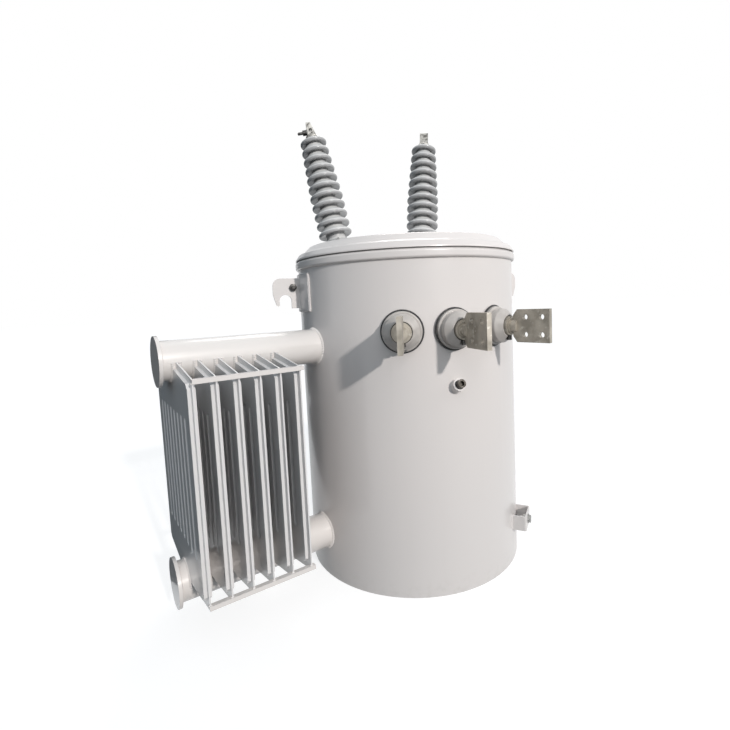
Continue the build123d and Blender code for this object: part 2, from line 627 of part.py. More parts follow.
# One panel in a frame of its own: x across, y up, z through its thickness
half = PANEL_HALF_WIDTH
flat = half - PANEL_CORNER_FLAT
ledge = TIE_BAR_HEIGHT + TIE_BAR_GAP
side = half - SEAM_WIDTH
corner = side - CUSHION_CORNER
top = HEADER_UPPER_Z - SEAM_WIDTH
bottom = HEADER_LOWER_Z + SEAM_WIDTH
face = PANEL_THICKNESS / 2
with BuildPart() as panel:
    with BuildSketch(Plane.XY):
        with BuildLine():
            Polyline(
                (0, HEADER_LOWER_Z),
                (HEADER_R, HEADER_LOWER_Z),
                (flat, PANEL_BOTTOM_Z - ledge),
                (flat, PANEL_BOTTOM_Z),
                (half, PANEL_BOTTOM_Z),
                (half, PANEL_TOP_Z),
                (flat, PANEL_TOP_Z),
                (flat, PANEL_TOP_Z + ledge),
                (HEADER_R, HEADER_UPPER_Z),
                (0, HEADER_UPPER_Z),
                close=True,
            )
        make_face()
        mirror(about=Plane.YZ)
    extrude(amount=SEAM_THICKNESS / 2, both=True)
    with BuildSketch(Plane.XY):
        with BuildLine():
            Polyline(
                (0, bottom),
                (HEADER_R, bottom),
                (corner, PANEL_BOTTOM_Z),
                (side, PANEL_BOTTOM_Z + CUSHION_CORNER),
                (side, PANEL_TOP_Z - CUSHION_CORNER),
                (corner, PANEL_TOP_Z),
                (HEADER_R, top),
                (0, top),
                close=True,
            )
        make_face()
        mirror(about=Plane.YZ)
    extrude(amount=face, both=True, taper=CUSHION_DRAFT)
    for outer in (Plane.XY.offset(face), Plane(origin=(0, 0, -face), x_dir=(1, 0, 0), z_dir=(0, 0, -1))):
        with BuildSketch(outer):
            with Locations((0, (PANEL_TOP_Z + PANEL_BOTTOM_Z) / 2 * outer.y_dir.Y)):
                with GridLocations(FLUTE_PITCH, 0, FLUTE_COUNT, 1):
                    SlotOverall(PANEL_TOP_Z - PANEL_BOTTOM_Z - 2 * FLUTE_MARGIN, FLUTE_WIDTH, rotation=90)
        extrude(amount=(SEAM_THICKNESS - PANEL_THICKNESS) / 2, taper=FLUTE_DRAFT, mode=Mode.SUBTRACT)
    with BuildSketch(Plane.XY):
        with Locations((0, HEADER_UPPER_Z), (0, HEADER_LOWER_Z)):
            Circle(HEADER_R)
    extrude(amount=PANEL_THICKNESS, both=True, mode=Mode.SUBTRACT)

for number in range(PANEL_COUNT):
    place = wall_plane(RADIATOR_AZIMUTH, 0, PANEL_FIRST + number * PANEL_PITCH)
    finish(place.location * panel.part, f"radiator_panel_{number + 1}")

bar_start = PANEL_FIRST - TIE_BAR_OVERHANG
bar_offset = flat + TIE_BAR_DEPTH / 2
bar_middles = {"upper": PANEL_TOP_Z + TIE_BAR_HEIGHT / 2, "lower": PANEL_BOTTOM_Z - TIE_BAR_HEIGHT / 2}
for level, height in bar_middles.items():
    for end, offset in (("front", bar_offset), ("rear", -bar_offset)):
        with BuildPart() as tie_bar:
            with BuildSketch(wall_plane(RADIATOR_AZIMUTH, height, bar_start)):
                with Locations((offset, 0)):
                    Rectangle(TIE_BAR_DEPTH, TIE_BAR_HEIGHT)
            extrude(amount=PANEL_LAST + SEAM_THICKNESS / 2 - bar_start)
        finish(tie_bar.part, f"tie_bar_{level}_{end}")

# Pole brackets: bent channels on the back with an upright slot
for level, height in (
    ("upper", BRACKET_MIDDLE_Z + BRACKET_SPACING / 2),
    ("lower", BRACKET_MIDDLE_Z - BRACKET_SPACING / 2),
):
    with BuildPart() as pole_bracket:
        with BuildSketch(wall_plane(180, height, TANK_R - BRACKET_PLATE * 2)):
            Rectangle(BRACKET_WIDTH, BRACKET_HEIGHT)
        extrude(amount=BRACKET_REACH + BRACKET_PLATE * 2)
        fillet(pole_bracket.edges().filter_by(Axis.Z).sort_by(Axis.Y)[-2:], BRACKET_BEND)
        with BuildSketch(wall_plane(180, height, TANK_R - BRACKET_PLATE * 2)):
            Rectangle(BRACKET_WIDTH - 2 * BRACKET_PLATE, BRACKET_HEIGHT)
        extrude(amount=BRACKET_REACH + BRACKET_PLATE, mode=Mode.SUBTRACT)
        with BuildSketch(wall_plane(180, height, TANK_R)):
            SlotOverall(SLOT_LENGTH, 2 * SLOT_R, rotation=90)
        extrude(amount=2 * BRACKET_REACH, mode=Mode.SUBTRACT)
        with BuildSketch(Plane.XY):
            Circle(TANK_R)
        extrude(amount=TANK_TOP, mode=Mode.SUBTRACT)
    finish(pole_bracket.part, f"pole_bracket_{level}")
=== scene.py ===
"""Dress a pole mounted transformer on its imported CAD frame.

The CAD nodes keep their shapes and get procedural finishes, but for the two high-voltage porcelains, which a
finer turned body replaces. Welds, seals, washers, nuts, bolts and screws that the CAD model leaves out are
added as mesh pieces of their own. Everything is in metres, in the frame of the CAD model: +Z is up, -Y is the
low-voltage side and the radiator stands off towards -X. An azimuth turns from -Y towards +X, in degrees. Some
small pieces are let into what carries them by SINK.
"""

import logging
from abc import ABC, abstractmethod
from dataclasses import dataclass, replace
from enum import Enum
from functools import cached_property
from math import cos, hypot, pi, radians, sin, sqrt, tau

import bmesh
import bpy
from mathutils import Matrix, Vector, noise

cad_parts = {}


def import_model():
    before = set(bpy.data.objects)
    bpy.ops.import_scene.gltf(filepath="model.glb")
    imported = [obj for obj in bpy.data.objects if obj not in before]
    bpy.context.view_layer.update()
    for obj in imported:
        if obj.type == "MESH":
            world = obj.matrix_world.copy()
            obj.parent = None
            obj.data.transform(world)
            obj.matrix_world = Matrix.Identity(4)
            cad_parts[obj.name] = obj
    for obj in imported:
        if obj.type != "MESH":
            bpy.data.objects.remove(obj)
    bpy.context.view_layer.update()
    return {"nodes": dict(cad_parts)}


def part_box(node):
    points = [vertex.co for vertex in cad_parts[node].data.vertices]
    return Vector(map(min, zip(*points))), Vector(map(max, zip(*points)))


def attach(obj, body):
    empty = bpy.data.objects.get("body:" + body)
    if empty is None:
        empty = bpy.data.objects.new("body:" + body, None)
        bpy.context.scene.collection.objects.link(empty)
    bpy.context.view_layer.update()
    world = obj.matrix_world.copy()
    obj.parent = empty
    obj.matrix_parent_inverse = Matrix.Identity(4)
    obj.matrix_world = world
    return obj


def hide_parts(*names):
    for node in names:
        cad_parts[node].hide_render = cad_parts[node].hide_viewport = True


LOG = logging.getLogger("transformer")
UP = Vector((0.0, 0.0, 1.0))
SINK = 0.001
Triple = tuple[float, float, float]
Pair = tuple[float, float]
Colour = Triple
Span = Pair
Output = bpy.types.NodeSocket
Ring = list[bmesh.types.BMVert]


def outward(azimuth: float) -> Vector:
    """Return the unit vector away from the tank's axis at an azimuth in degrees."""
    return Vector((sin(radians(azimuth)), -cos(radians(azimuth)), 0.0))


def sideways(azimuth: float) -> Vector:
    """Return the unit vector along the tank's surface at an azimuth in degrees."""
    return Vector((cos(radians(azimuth)), sin(radians(azimuth)), 0.0))


def seat_at(origin: Vector, axis: Vector) -> Matrix:
    """Return a frame with its Z along an axis.

    Args:
        origin: Where the frame stands.
        axis: Direction of its Z.

    Returns:
        The frame as a matrix.
    """
    return Matrix.Translation(origin) @ axis.to_track_quat("Z", "Y").to_matrix().to_4x4()


def raised(seat: Matrix, height: float) -> Matrix:
    """Return a seat moved up its own Z."""
    return seat @ Matrix.Translation((0.0, 0.0, height))


class Labelled(Enum):
    """A choice whose name is also the word that node names end with."""

    @property
    def label(self) -> str:
        """Return that word."""
        return self.name.lower()


class Side(Labelled):
    """Left or right of the low-voltage side, with the sign of X on that side."""

    LEFT = -1
    RIGHT = 1


class Level(Labelled):
    """Upper or lower fitting of a pair, with the sign of the way to the middle between them."""

    UPPER = -1
    LOWER = 1


class Slot(Enum):
    """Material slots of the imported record."""

    TANK_PAINT = "tank_paint"
    RADIATOR_PAINT = "radiator_paint"
    PORCELAIN = "porcelain"
    MOULDED_GREY = "moulded_grey"
    GASKET_RUBBER = "gasket_rubber"
    TINNED_METAL = "tinned_metal"
    STEEL_FASTENER = "steel_fastener"


@dataclass(frozen=True)
class Extent:
    """A node's box at rest, as the frame gives it."""

    low: Vector
    high: Vector

    @classmethod
    def of(cls, node: str) -> "Extent":
        """Read a node's box from the frame."""
        low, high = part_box(node)
        return cls(Vector(low), Vector(high))

    @property
    def middle(self) -> Vector:
        """Return the middle of the box."""
        return (self.low + self.high) / 2

    @property
    def half(self) -> Vector:
        """Return half the size of the box."""
        return (self.high - self.low) / 2


@dataclass(frozen=True)
class Pattern:
    """A noise by its features for each metre, its octaves and its stretch, with its two ranges.

    The range that is read is eased into the range that is given. A stretch below 1 draws the noise out.
    """

    scale: float
    detail: float = 4.0
    stretch: Triple = (1.0, 1.0, 1.0)
    read: Span = (0.3, 0.7)
    give: Span = (0.0, 1.0)


@dataclass(frozen=True)
class Relief:
    """A noise that stands out of the surface, with its depth in metres."""

    scale: float
    detail: float
    depth: float
    stretch: Triple = (1.0, 1.0, 1.0)


class NodeGraph:
    """A small builder for one material's shader nodes, all in object space."""

    def __init__(self, name: str) -> None:
        """Start a material with its Principled shader.

        Args:
            name: Name of the new material.
        """
        self.material = bpy.data.materials.new(name)
        self.material.use_nodes = True
        self.tree = self.material.node_tree
        self.shader = self.tree.nodes["Principled BSDF"]
        source = self.tree.nodes.new("ShaderNodeTexCoord")
        self.place = source.outputs["Object"]
        self.facing = source.outputs["Normal"]

    def noise(self, kind: Pattern | Relief) -> Output:
        """Add a noise.

        Args:
            kind: Its scale, detail and stretch.

        Returns:
            The node's factor output.
        """
        mapping = self.tree.nodes.new("ShaderNodeMapping")
        mapping.inputs["Scale"].default_value = kind.stretch
        texture = self.tree.nodes.new("ShaderNodeTexNoise")
        texture.inputs["Scale"].default_value = kind.scale
        texture.inputs["Detail"].default_value = kind.detail
        self.tree.links.new(self.place, mapping.inputs["Vector"])
        self.tree.links.new(mapping.outputs["Vector"], texture.inputs["Vector"])
        return texture.outputs["Fac"]

    def pattern(self, pattern: Pattern) -> Output:
        """Add a noise and map it from the range that is read to the one that is given."""
        return self.span(self.noise(pattern), *pattern.read, *pattern.give)

    def cells(self, scale: float) -> Output:
        """Add a cell pattern.

        Args:
            scale: Cells for each metre.

        Returns:
            The node's distance output.
        """
        texture = self.tree.nodes.new("ShaderNodeTexVoronoi")
        texture.inputs["Scale"].default_value = scale
        self.tree.links.new(self.place, texture.inputs["Vector"])
        return texture.outputs["Distance"]

    def upright(self, vector: Output) -> Output:
        """Take the Z of a vector.

        Args:
            vector: A place in metres, or the way a face looks.

        Returns:
            The place's height in metres, or how far the face looks up, from -1 to 1.
        """
        split = self.tree.nodes.new("ShaderNodeSeparateXYZ")
        self.tree.links.new(vector, split.inputs["Vector"])
        return split.outputs["Z"]

    def span(self, value: Output, low: float, high: float, start: float = 0.0, end: float = 1.0) -> Output:
        """Map a value from one range to another, eased into both ends.

        Args:
            value: Output to map.
            low: Lower end of the range that is read.
            high: Upper end of the range that is read.
            start: Result at the lower end.
            end: Result at the upper end.

        Returns:
            The mapped output.
        """
        ramp = self.tree.nodes.new("ShaderNodeMapRange")
        ramp.interpolation_type = "SMOOTHSTEP"
        ramp.inputs["From Min"].default_value = low
        ramp.inputs["From Max"].default_value = high
        ramp.inputs["To Min"].default_value = start
        ramp.inputs["To Max"].default_value = end
        self.tree.links.new(value, ramp.inputs["Value"])
        return ramp.outputs["Result"]

    def times(self, first: Output, second: Output) -> Output:
        """Multiply two outputs.

        Args:
            first: One output.
            second: The other output.

        Returns:
            Their product.
        """
        product = self.tree.nodes.new("ShaderNodeMath")
        product.operation = "MULTIPLY"
        self.tree.links.new(first, product.inputs[0])
        self.tree.links.new(second, product.inputs[1])
        return product.outputs[0]

    def blend(self, factor: Output, base: Colour | Output, tint: Colour) -> Output:
        """Blend a colour or output towards a tint.

        Args:
            factor: Output from 0 to 1.
            base: A colour, or the output of an earlier blend.
            tint: Colour where the factor is 1.

        Returns:
            The blended colour output.
        """
        mix = self.tree.nodes.new("ShaderNodeMix")
        mix.data_type = "RGBA"
        under, over = (socket for socket in mix.inputs if socket.type == "RGBA")
        self.tree.links.new(factor, mix.inputs["Factor"])
        if isinstance(base, tuple):
            under.default_value = (*base, 1.0)
        else:
            self.tree.links.new(base, under)
        over.default_value = (*tint, 1.0)
        return next(socket for socket in mix.outputs if socket.type == "RGBA")

    def feed(self, socket: str, value: Output) -> None:
        """Join an output to one of the shader's sockets.

        Args:
            socket: Name of the socket.
            value: Output to join.
        """
        self.tree.links.new(value, self.shader.inputs[socket])

    def fix(self, **constants: float) -> None:
        """Set constants on the shader's sockets.

        Args:
            constants: Value of each socket, named with underscores for its spaces.
        """
        for socket, value in constants.items():
            self.shader.inputs[socket.replace("_", " ")].default_value = value

    def relief(self, *layers: Relief) -> None:
        """Stack bump layers on the shader's normal.

        Args:
            layers: The layers, from the lowest up.
        """
        below = None
        for layer in layers:
            bump = self.tree.nodes.new("ShaderNodeBump")
            bump.inputs["Strength"].default_value = 1.0
            bump.inputs["Distance"].default_value = layer.depth
            self.tree.links.new(self.noise(layer), bump.inputs["Height"])
            if below is not None:
                self.tree.links.new(below, bump.inputs["Normal"])
            below = bump.outputs["Normal"]
        self.feed("Normal", below)


@dataclass(frozen=True)
class Finish(ABC):
    """A surface finish, with a slot of the imported record, which the code doesn't read."""

    name: str
    slot: Slot

    @abstractmethod
    def build(self) -> bpy.types.Material:
        """Return the finish's material."""


@dataclass(frozen=True)
class Paint(Finish):
    """Gloss enamel sprayed on sheet steel, with orange peel, slow waves, faint drips and splash dust."""

    colour: Colour
    cooler: Colour
    dust: Colour = (0.44, 0.42, 0.38)
    cloud: Pattern = Pattern(1.8, 1.0, read=(0.25, 0.75))
    drips: Pattern = Pattern(26.0, 3.0, (1.0, 1.0, 0.05), read=(0.50, 0.90), give=(0.0, 0.06))
    splash: Pattern = Pattern(60.0, 6.0, read=(0.46, 0.74), give=(0.0, 0.22))
    splash_height: float = 0.06
    roughness: Pattern = Pattern(9.0, 3.0, read=(0.2, 0.8), give=(0.28, 0.33))
    coat: float = 0.25
    coat_roughness: float = 0.10
    waves: Relief = Relief(6.0, 2.0, 0.00025, (1.0, 1.0, 0.45))
    peel: Relief = Relief(420.0, 2.0, 0.000015)

    def build(self) -> bpy.types.Material:
        """Build the enamel.

        Returns:
            Its material.
        """
        graph = NodeGraph(self.name)
        cloud = graph.pattern(self.cloud)
        low = graph.span(graph.upright(graph.place), 0.0, self.splash_height, 1.0, 0.0)
        splash = graph.times(low, graph.pattern(self.splash))
        colour = graph.blend(cloud, self.colour, self.cooler)
        colour = graph.blend(graph.times(graph.pattern(self.drips), cloud), colour, self.dust)
        graph.feed("Base Color", graph.blend(splash, colour, self.dust))
        graph.feed("Roughness", graph.pattern(self.roughness))
        graph.fix(Coat_Weight=self.coat, Coat_Roughness=self.coat_roughness)
        graph.relief(self.waves, self.peel)
        return graph.material


@dataclass(frozen=True)
class Glaze(Finish):
    """Glazed electrical porcelain: deep gloss, faintly speckled, with painted light on faces that look up and
    painted shade on faces that look down.
    """

    downward_shade: Colour
    upward_light: Colour
    speck: Colour
    lit_facing_span: Span = (0.05, 0.60)
    patches: Pattern = Pattern(34.0, 3.0, read=(0.25, 0.70), give=(0.75, 1.0))
    specks: Pattern = Pattern(900.0, 2.0, read=(0.68, 0.76), give=(0.0, 0.5))
    roughness: Pattern = Pattern(80.0, give=(0.18, 0.27))
    specular: float = 0.32
    coat: float = 0.12
    coat_roughness: float = 0.06
    ripple: Relief = Relief(60.0, 2.0, 0.00035)

    def build(self) -> bpy.types.Material:
        """Build the glaze.

        Returns:
            Its material.
        """
        graph = NodeGraph(self.name)
        # Painted light and shade: faces that look up blend towards the lit colour and faces that look down
        # keep the shaded colour, broken up by patches.
        painted_light = graph.span(graph.upright(graph.facing), *self.lit_facing_span)
        painted_light = graph.times(painted_light, graph.pattern(self.patches))
        colour = graph.blend(painted_light, self.downward_shade, self.upward_light)
        graph.feed("Base Color", graph.blend(graph.pattern(self.specks), colour, self.speck))
        graph.feed("Roughness", graph.pattern(self.roughness))
        graph.fix(Specular_IOR_Level=self.specular, Coat_Weight=self.coat, Coat_Roughness=self.coat_roughness)
        graph.relief(self.ripple)
        return graph.material


@dataclass(frozen=True)
class Moulding(Finish):
    """Cast resin of the low-voltage bushings, satin with a fine grain."""

    colour: Colour
    worn: Colour
    patches: Pattern = Pattern(45.0, read=(0.4, 0.7))
    roughness: Pattern = Pattern(120.0, give=(0.34, 0.48))
    coat: float = 0.25
    coat_roughness: float = 0.22
    grain: Relief = Relief(700.0, 2.0, 0.00012)

    def build(self) -> bpy.types.Material:
        """Build the resin.

        Returns:
            Its material.
        """
        graph = NodeGraph(self.name)
        graph.feed("Base Color", graph.blend(graph.pattern(self.patches), self.colour, self.worn))
        graph.feed("Roughness", graph.pattern(self.roughness))
        graph.fix(Coat_Weight=self.coat, Coat_Roughness=self.coat_roughness)
        graph.relief(self.grain)
        return graph.material


@dataclass(frozen=True)
class Rubber(Finish):
    """Gasket rubber, matte with a dusty bloom."""

    colour: Colour
    bloom: Colour
    patches: Pattern = Pattern(60.0, read=(0.4, 0.75))
    roughness: Pattern = Pattern(200.0, give=(0.62, 0.82))
    grain: Relief = Relief(900.0, 2.0, 0.0001)

    def build(self) -> bpy.types.Material:
        """Build the rubber.

        Returns:
            Its material.
        """
        graph = NodeGraph(self.name)
        graph.feed("Base Color", graph.blend(graph.pattern(self.patches), self.colour, self.bloom))
        graph.feed("Roughness", graph.pattern(self.roughness))
        graph.relief(self.grain)
        return graph.material


@dataclass(frozen=True)
class Tinning(Finish):
    """Tin plate on cast brass: mottled, with darker blooms, bright rubbed spots and fine draw lines; on the
    shiny terminals the darkest blooms and brightest spots are painted reflections and glints.
    """

    colour: Colour
    stain_and_dark_reflection: Colour
    bright: Colour
    blooms_and_dark_reflections: Pattern = Pattern(24.0, 6.0, read=(0.40, 0.68))
    rubbed_and_glints: Pattern = Pattern(85.0, 5.0, read=(0.58, 0.78), give=(0.0, 0.8))
    roughness: Pattern = Pattern(55.0, 5.0, give=(0.50, 0.68))
    metallic: float = 0.8
    draw_lines: Relief = Relief(260.0, 3.0, 0.00008, (1.0, 1.0, 0.12))
    dents: Relief = Relief(30.0, 3.0, 0.0003)

    def build(self) -> bpy.types.Material:
        """Build the plated metal.

        Returns:
            Its material.
        """
        graph = NodeGraph(self.name)
        # Dark blooms and bright rubbed spots: tarnish and wear, and on the shiny terminals also painted dark
        # reflections and glints.
        colour = graph.blend(graph.pattern(self.blooms_and_dark_reflections), self.colour, self.stain_and_dark_reflection)
        graph.feed("Base Color", graph.blend(graph.pattern(self.rubbed_and_glints), colour, self.bright))
        graph.feed("Roughness", graph.pattern(self.roughness))
        graph.fix(Metallic=self.metallic)
        graph.relief(self.draw_lines, self.dents)
        return graph.material


@dataclass(frozen=True)
class Plating(Finish):
    """Plated or blackened steel of nuts, bolts and screws, with a grainy spangle."""

    colour: Colour
    dull: Colour
    spangle_scale: float = 160.0
    spangle: Span = (0.1, 0.7)
    roughness: Pattern = Pattern(150.0, give=(0.28, 0.48))
    grain: Relief = Relief(500.0, 3.0, 0.00006)

    def build(self) -> bpy.types.Material:
        """Build the plated steel.

        Returns:
            Its material.
        """
        graph = NodeGraph(self.name)
        spangle = graph.span(graph.cells(self.spangle_scale), *self.spangle)
        graph.feed("Base Color", graph.blend(spangle, self.colour, self.dull))
        graph.feed("Roughness", graph.pattern(self.roughness))
        graph.fix(Metallic=1.0)
        graph.relief(self.grain)
        return graph.material


TANK_ENAMEL = Paint("tank_enamel", Slot.TANK_PAINT, (0.640, 0.604, 0.585), (0.626, 0.598, 0.583))
RADIATOR_ENAMEL = replace(
    TANK_ENAMEL,
    name="radiator_enamel",
    slot=Slot.RADIATOR_PAINT,
    colour=(0.665, 0.628, 0.602),
    cooler=(0.650, 0.622, 0.600),
    coat=0.5,
    coat_roughness=0.05,
    waves=replace(TANK_ENAMEL.waves, depth=0.00015),
)
# A cooler, bluer copy of the radiator enamel for the panels: painted blue shade, standing in for sky light in
# the gaps between them.
PANEL_ENAMEL_BLUE_SHADE = replace(
    RADIATOR_ENAMEL, name="panel_enamel_blue_shade", colour=(0.655, 0.640, 0.630), cooler=(0.636, 0.634, 0.632)
)
PAINTED_SEAL = Rubber("painted_seal", Slot.GASKET_RUBBER, (0.24, 0.23, 0.22), (0.31, 0.30, 0.29))
BLACK_RUBBER = Rubber("black_rubber", Slot.GASKET_RUBBER, (0.022, 0.022, 0.024), (0.070, 0.068, 0.064))
# Painted shade colour for faces that look down, painted light colour for faces that look up, then the speck
# colour.
GREY_GLAZE = Glaze(
    "grey_glaze", Slot.PORCELAIN, (0.350, 0.352, 0.354), (0.680, 0.676, 0.662), (0.25, 0.25, 0.24)
)
GREY_RESIN = Moulding("grey_resin", Slot.MOULDED_GREY, (0.405, 0.380, 0.358), (0.465, 0.438, 0.412))
TINNED_BRASS = Tinning(
    "tinned_brass", Slot.TINNED_METAL, (0.430, 0.400, 0.350), (0.270, 0.250, 0.215), (0.66, 0.64, 0.59)
)
# The near-black stain colour and near-white bright colour paint in dark reflections and glints on the shiny
# terminals, besides the tin's own blooms and rubbed spots.
BRIGHT_TIN = Tinning(
    "bright_tin",
    Slot.TINNED_METAL,
    colour=(0.50, 0.49, 0.46),
    stain_and_dark_reflection=(0.10, 0.095, 0.088),
    bright=(0.84, 0.83, 0.81),
    blooms_and_dark_reflections=replace(TINNED_BRASS.blooms_and_dark_reflections, scale=84.0),
    rubbed_and_glints=replace(TINNED_BRASS.rubbed_and_glints, scale=297.5),
    roughness=replace(TINNED_BRASS.roughness, give=(0.28, 0.40)),
)
ZINC = Plating("zinc_plate", Slot.STEEL_FASTENER, (0.46, 0.46, 0.45), (0.27, 0.27, 0.265))
DARK_BRONZE = Plating("dark_bronze", Slot.STEEL_FASTENER, (0.072, 0.066, 0.060), (0.040, 0.037, 0.033))
BLACK_STEEL = Plating("black_steel", Slot.STEEL_FASTENER, (0.105, 0.103, 0.100), (0.055, 0.054, 0.053))


class Wardrobe:
    """Builds each finish once and puts it on CAD nodes and on new pieces."""

    def __init__(self, nodes: dict[str, bpy.types.Object]) -> None:
        """Keep the frame's nodes.

        Args:
            nodes: The CAD objects by the name of their node.
        """
        self.nodes = nodes
        self.made: dict[str, bpy.types.Material] = {}

    def material(self, finish: Finish) -> bpy.types.Material:
        """Give a finish's material, which is built at its first use.

        Args:
            finish: The finish.

        Returns:
            The one material that all its pieces share.
        """
        if finish.name not in self.made:
            self.made[finish.name] = finish.build()
        return self.made[finish.name]

    def dress(self, finish: Finish, *names: str) -> None:
        """Give CAD nodes a finish.

        Args:
            finish: The finish to wear.
            names: Nodes that wear it.
        """
        for name in names:
            mesh = self.nodes[name].data
            mesh.materials.clear()
            mesh.materials.append(self.material(finish))
            LOG.info("finish %s on %s", finish.name, name)

    def piece(
        self, name: str, build: bmesh.types.BMesh, finish: Finish, crease: float = 38.0
    ) -> bpy.types.Object:
        """Turn a finished mesh into a piece that rides on the object.

        Args:
            name: Name of the piece.
            build: Mesh in metres, in the frame of the CAD model; it is freed here.
            finish: Finish of the whole piece.
            crease: Edges sharper than this many degrees stay sharp.

        Returns:
            The new object.
        """
        mesh = bpy.data.meshes.new(name)
        bmesh.ops.recalc_face_normals(build, faces=build.faces)
        build.to_mesh(mesh)
        build.free()
        mesh.polygons.foreach_set("use_smooth", [True] * len(mesh.polygons))
        mesh.set_sharp_from_angle(angle=radians(crease))
        mesh.materials.append(self.material(finish))
        piece = bpy.data.objects.new(name, mesh)
        bpy.context.scene.collection.objects.link(piece)
        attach(piece, "root")
        LOG.info("piece %s, %d faces", name, len(mesh.polygons))
        return piece


def bridge(build: bmesh.types.BMesh, rings: list[Ring], loop: bool = False) -> None:
    """Join closed rings of points with faces.

    Args:
        build: Mesh that holds the rings.
        rings: Rings of as many points each, in order.
        loop: Whether the last ring is joined to the first.
    """
    following = rings[1:] + rings[:1] if loop else rings[1:]
    for first, second in zip(rings, following):
        for index in range(len(first)):
            after = (index + 1) % len(first)
            build.faces.new((first[index], first[after], second[after], second[index]))


class Seam(ABC):
    """A line that a weld follows."""

    closed = True

    @abstractmethod
    def point(self, share: float) -> Vector:
        """Return the point at a share of the seam from 0 to 1."""

    @abstractmethod
    def lift(self, share: float) -> Vector:
        """Return the direction out of the corner at the same share."""


@dataclass(frozen=True)
class StraightSeam(Seam):
    """A straight corner between two plates."""

    start: Vector
    end: Vector
    way: Vector
    closed = False

    def point(self, share: float) -> Vector:
        """Return the point at a share of the corner."""
        return self.start.lerp(self.end, share)

    def lift(self, share: float) -> Vector:
        """Return the direction out of the corner, the same all along it."""
        return self.way


@dataclass(frozen=True)
class RoundSeam(Seam):
    """A circle, or the part of one that it starts with."""

    centre: Vector
    first: Vector
    second: Vector
    radius: float
    lean: Vector
    turn: float = tau

    @property
    def closed(self) -> bool:
        """Return whether the seam comes back to its start."""
        return self.turn == tau

    def out(self, share: float) -> Vector:
        """Return the unit vector away from the middle at a share of the seam."""
        angle = self.turn * share
        return self.first * cos(angle) + self.second * sin(angle)

    def point(self, share: float) -> Vector:
        """Return the point at a share of the seam."""
        return self.centre + self.out(share) * self.radius

    def lift(self, share: float) -> Vector:
        """Return the direction out of the corner at a share of the seam."""
        return self.out(share) + self.lean


@dataclass(frozen=True)
class SaddleSeam(Seam):
    """The line where a tube comes through the round wall of the tank."""

    wall: float
    azimuth: float
    height: float
    radius: float
    stretch: float = 1.0

    def point(self, share: float) -> Vector:
        """Follow the line where the tube meets the wall.

        Args:
            share: Share of a turn round the tube.

        Returns:
            The point there.
        """
        side = self.radius * cos(tau * share)
        up = self.radius * self.stretch * sin(tau * share)
        reach = sqrt(self.wall ** 2 - side ** 2)
        return outward(self.azimuth) * reach + sideways(self.azimuth) * side + UP * (self.height + up)

    def lift(self, share: float) -> Vector:
        """Return the direction out of the corner between tube and wall."""
        centre = outward(self.azimuth) * self.wall + UP * self.height
        return (self.point(share) - centre).normalized() + outward(self.azimuth)


@dataclass(frozen=True)
class PatchSeam(Seam):
    """The border of a plate that is rolled to the tank."""

    reach: float
    azimuth: float
    half_angle: float
    low: float
    high: float
    spread: float = 0.7

    def point(self, share: float) -> Vector:
        """Follow the plate's border.

        Args:
            share: Share of the way round the border.

        Returns:
            The point there.
        """
        wide = 2 * radians(self.half_angle) * self.reach
        tall = self.high - self.low
        along = (share % 1.0) * 2 * (wide + tall)
        if along < wide:
            turn, height = along / wide, self.low
        elif along < wide + tall:
            turn, height = 1.0, self.low + along - wide
        elif along < 2 * wide + tall:
            turn, height = 1.0 - (along - wide - tall) / wide, self.high
        else:
            turn, height = 0.0, self.high - (along - 2 * wide - tall)
        return outward(self.azimuth + self.half_angle * (2 * turn - 1)) * self.reach + UP * height

    def lift(self, share: float) -> Vector:
        """Return the direction out of the corner between plate and tank."""
        middle = outward(self.azimuth) * self.reach + UP * (self.low + self.high) / 2
        return (self.point(share) - middle).normalized() * self.spread + outward(self.azimuth)


@dataclass(frozen=True)
class WeldBead:
    """A fillet weld: a flattened tube along a seam, rippled as the welder's hand moves."""

    radius: float = 0.0032
    flatness: float = 0.8
    ripple: float = 0.0045
    swell: float = 0.13
    wander: float = 0.18
    wander_scale: float = 90.0
    end_size: float = 0.35
    around: int = 8
    fewest: int = 6
    samples: int = 90
    nudge: float = 0.002

    def lay(self, build: bmesh.types.BMesh, seam: Seam) -> None:
        """Lay the bead along a seam.

        Args:
            build: Mesh that takes the bead.
            seam: Line that it follows.
        """
        rough = [seam.point(step / self.samples) for step in range(self.samples + 1)]
        length = sum((after - before).length for before, after in zip(rough, rough[1:]))
        count = max(self.fewest, int(length / self.ripple * 2))
        steps = count if seam.closed else count + 1
        rings = [self.ring(build, seam, step, count) for step in range(steps)]
        bridge(build, rings, loop=seam.closed)
        if not seam.closed:
            build.faces.new(rings[0])
            build.faces.new(rings[-1])

    def ring(self, build: bmesh.types.BMesh, seam: Seam, step: int, count: int) -> Ring:
        """Make one ring of the bead.

        Args:
            build: Mesh that takes the ring.
            seam: Line that the bead follows.
            step: Number of the ring.
            count: Steps along the whole seam.

        Returns:
            The ring's points.
        """
        share = step / count
        here = seam.point(share)
        ahead, behind = share + self.nudge, share - self.nudge
        if seam.closed:
            ahead, behind = ahead % 1.0, behind % 1.0
        else:
            ahead, behind = min(ahead, 1.0), max(behind, 0.0)
        along = (seam.point(ahead) - seam.point(behind)).normalized()
        up = seam.lift(share)
        up = (up - along * up.dot(along)).normalized()
        across = along.cross(up)
        drift = self.wander * noise.noise(here * self.wander_scale)
        size = 1.0 + self.swell * (1 if step % 2 else -1) + drift
        size *= self.radius
        if not seam.closed and step in (0, count):
            size *= self.end_size
        ring = []
        for corner in range(self.around):
            turn = tau * corner / self.around
            reach = up * (cos(turn) * size * self.flatness) + across * (sin(turn) * size)
            ring.append(build.verts.new(here + reach))
        return ring


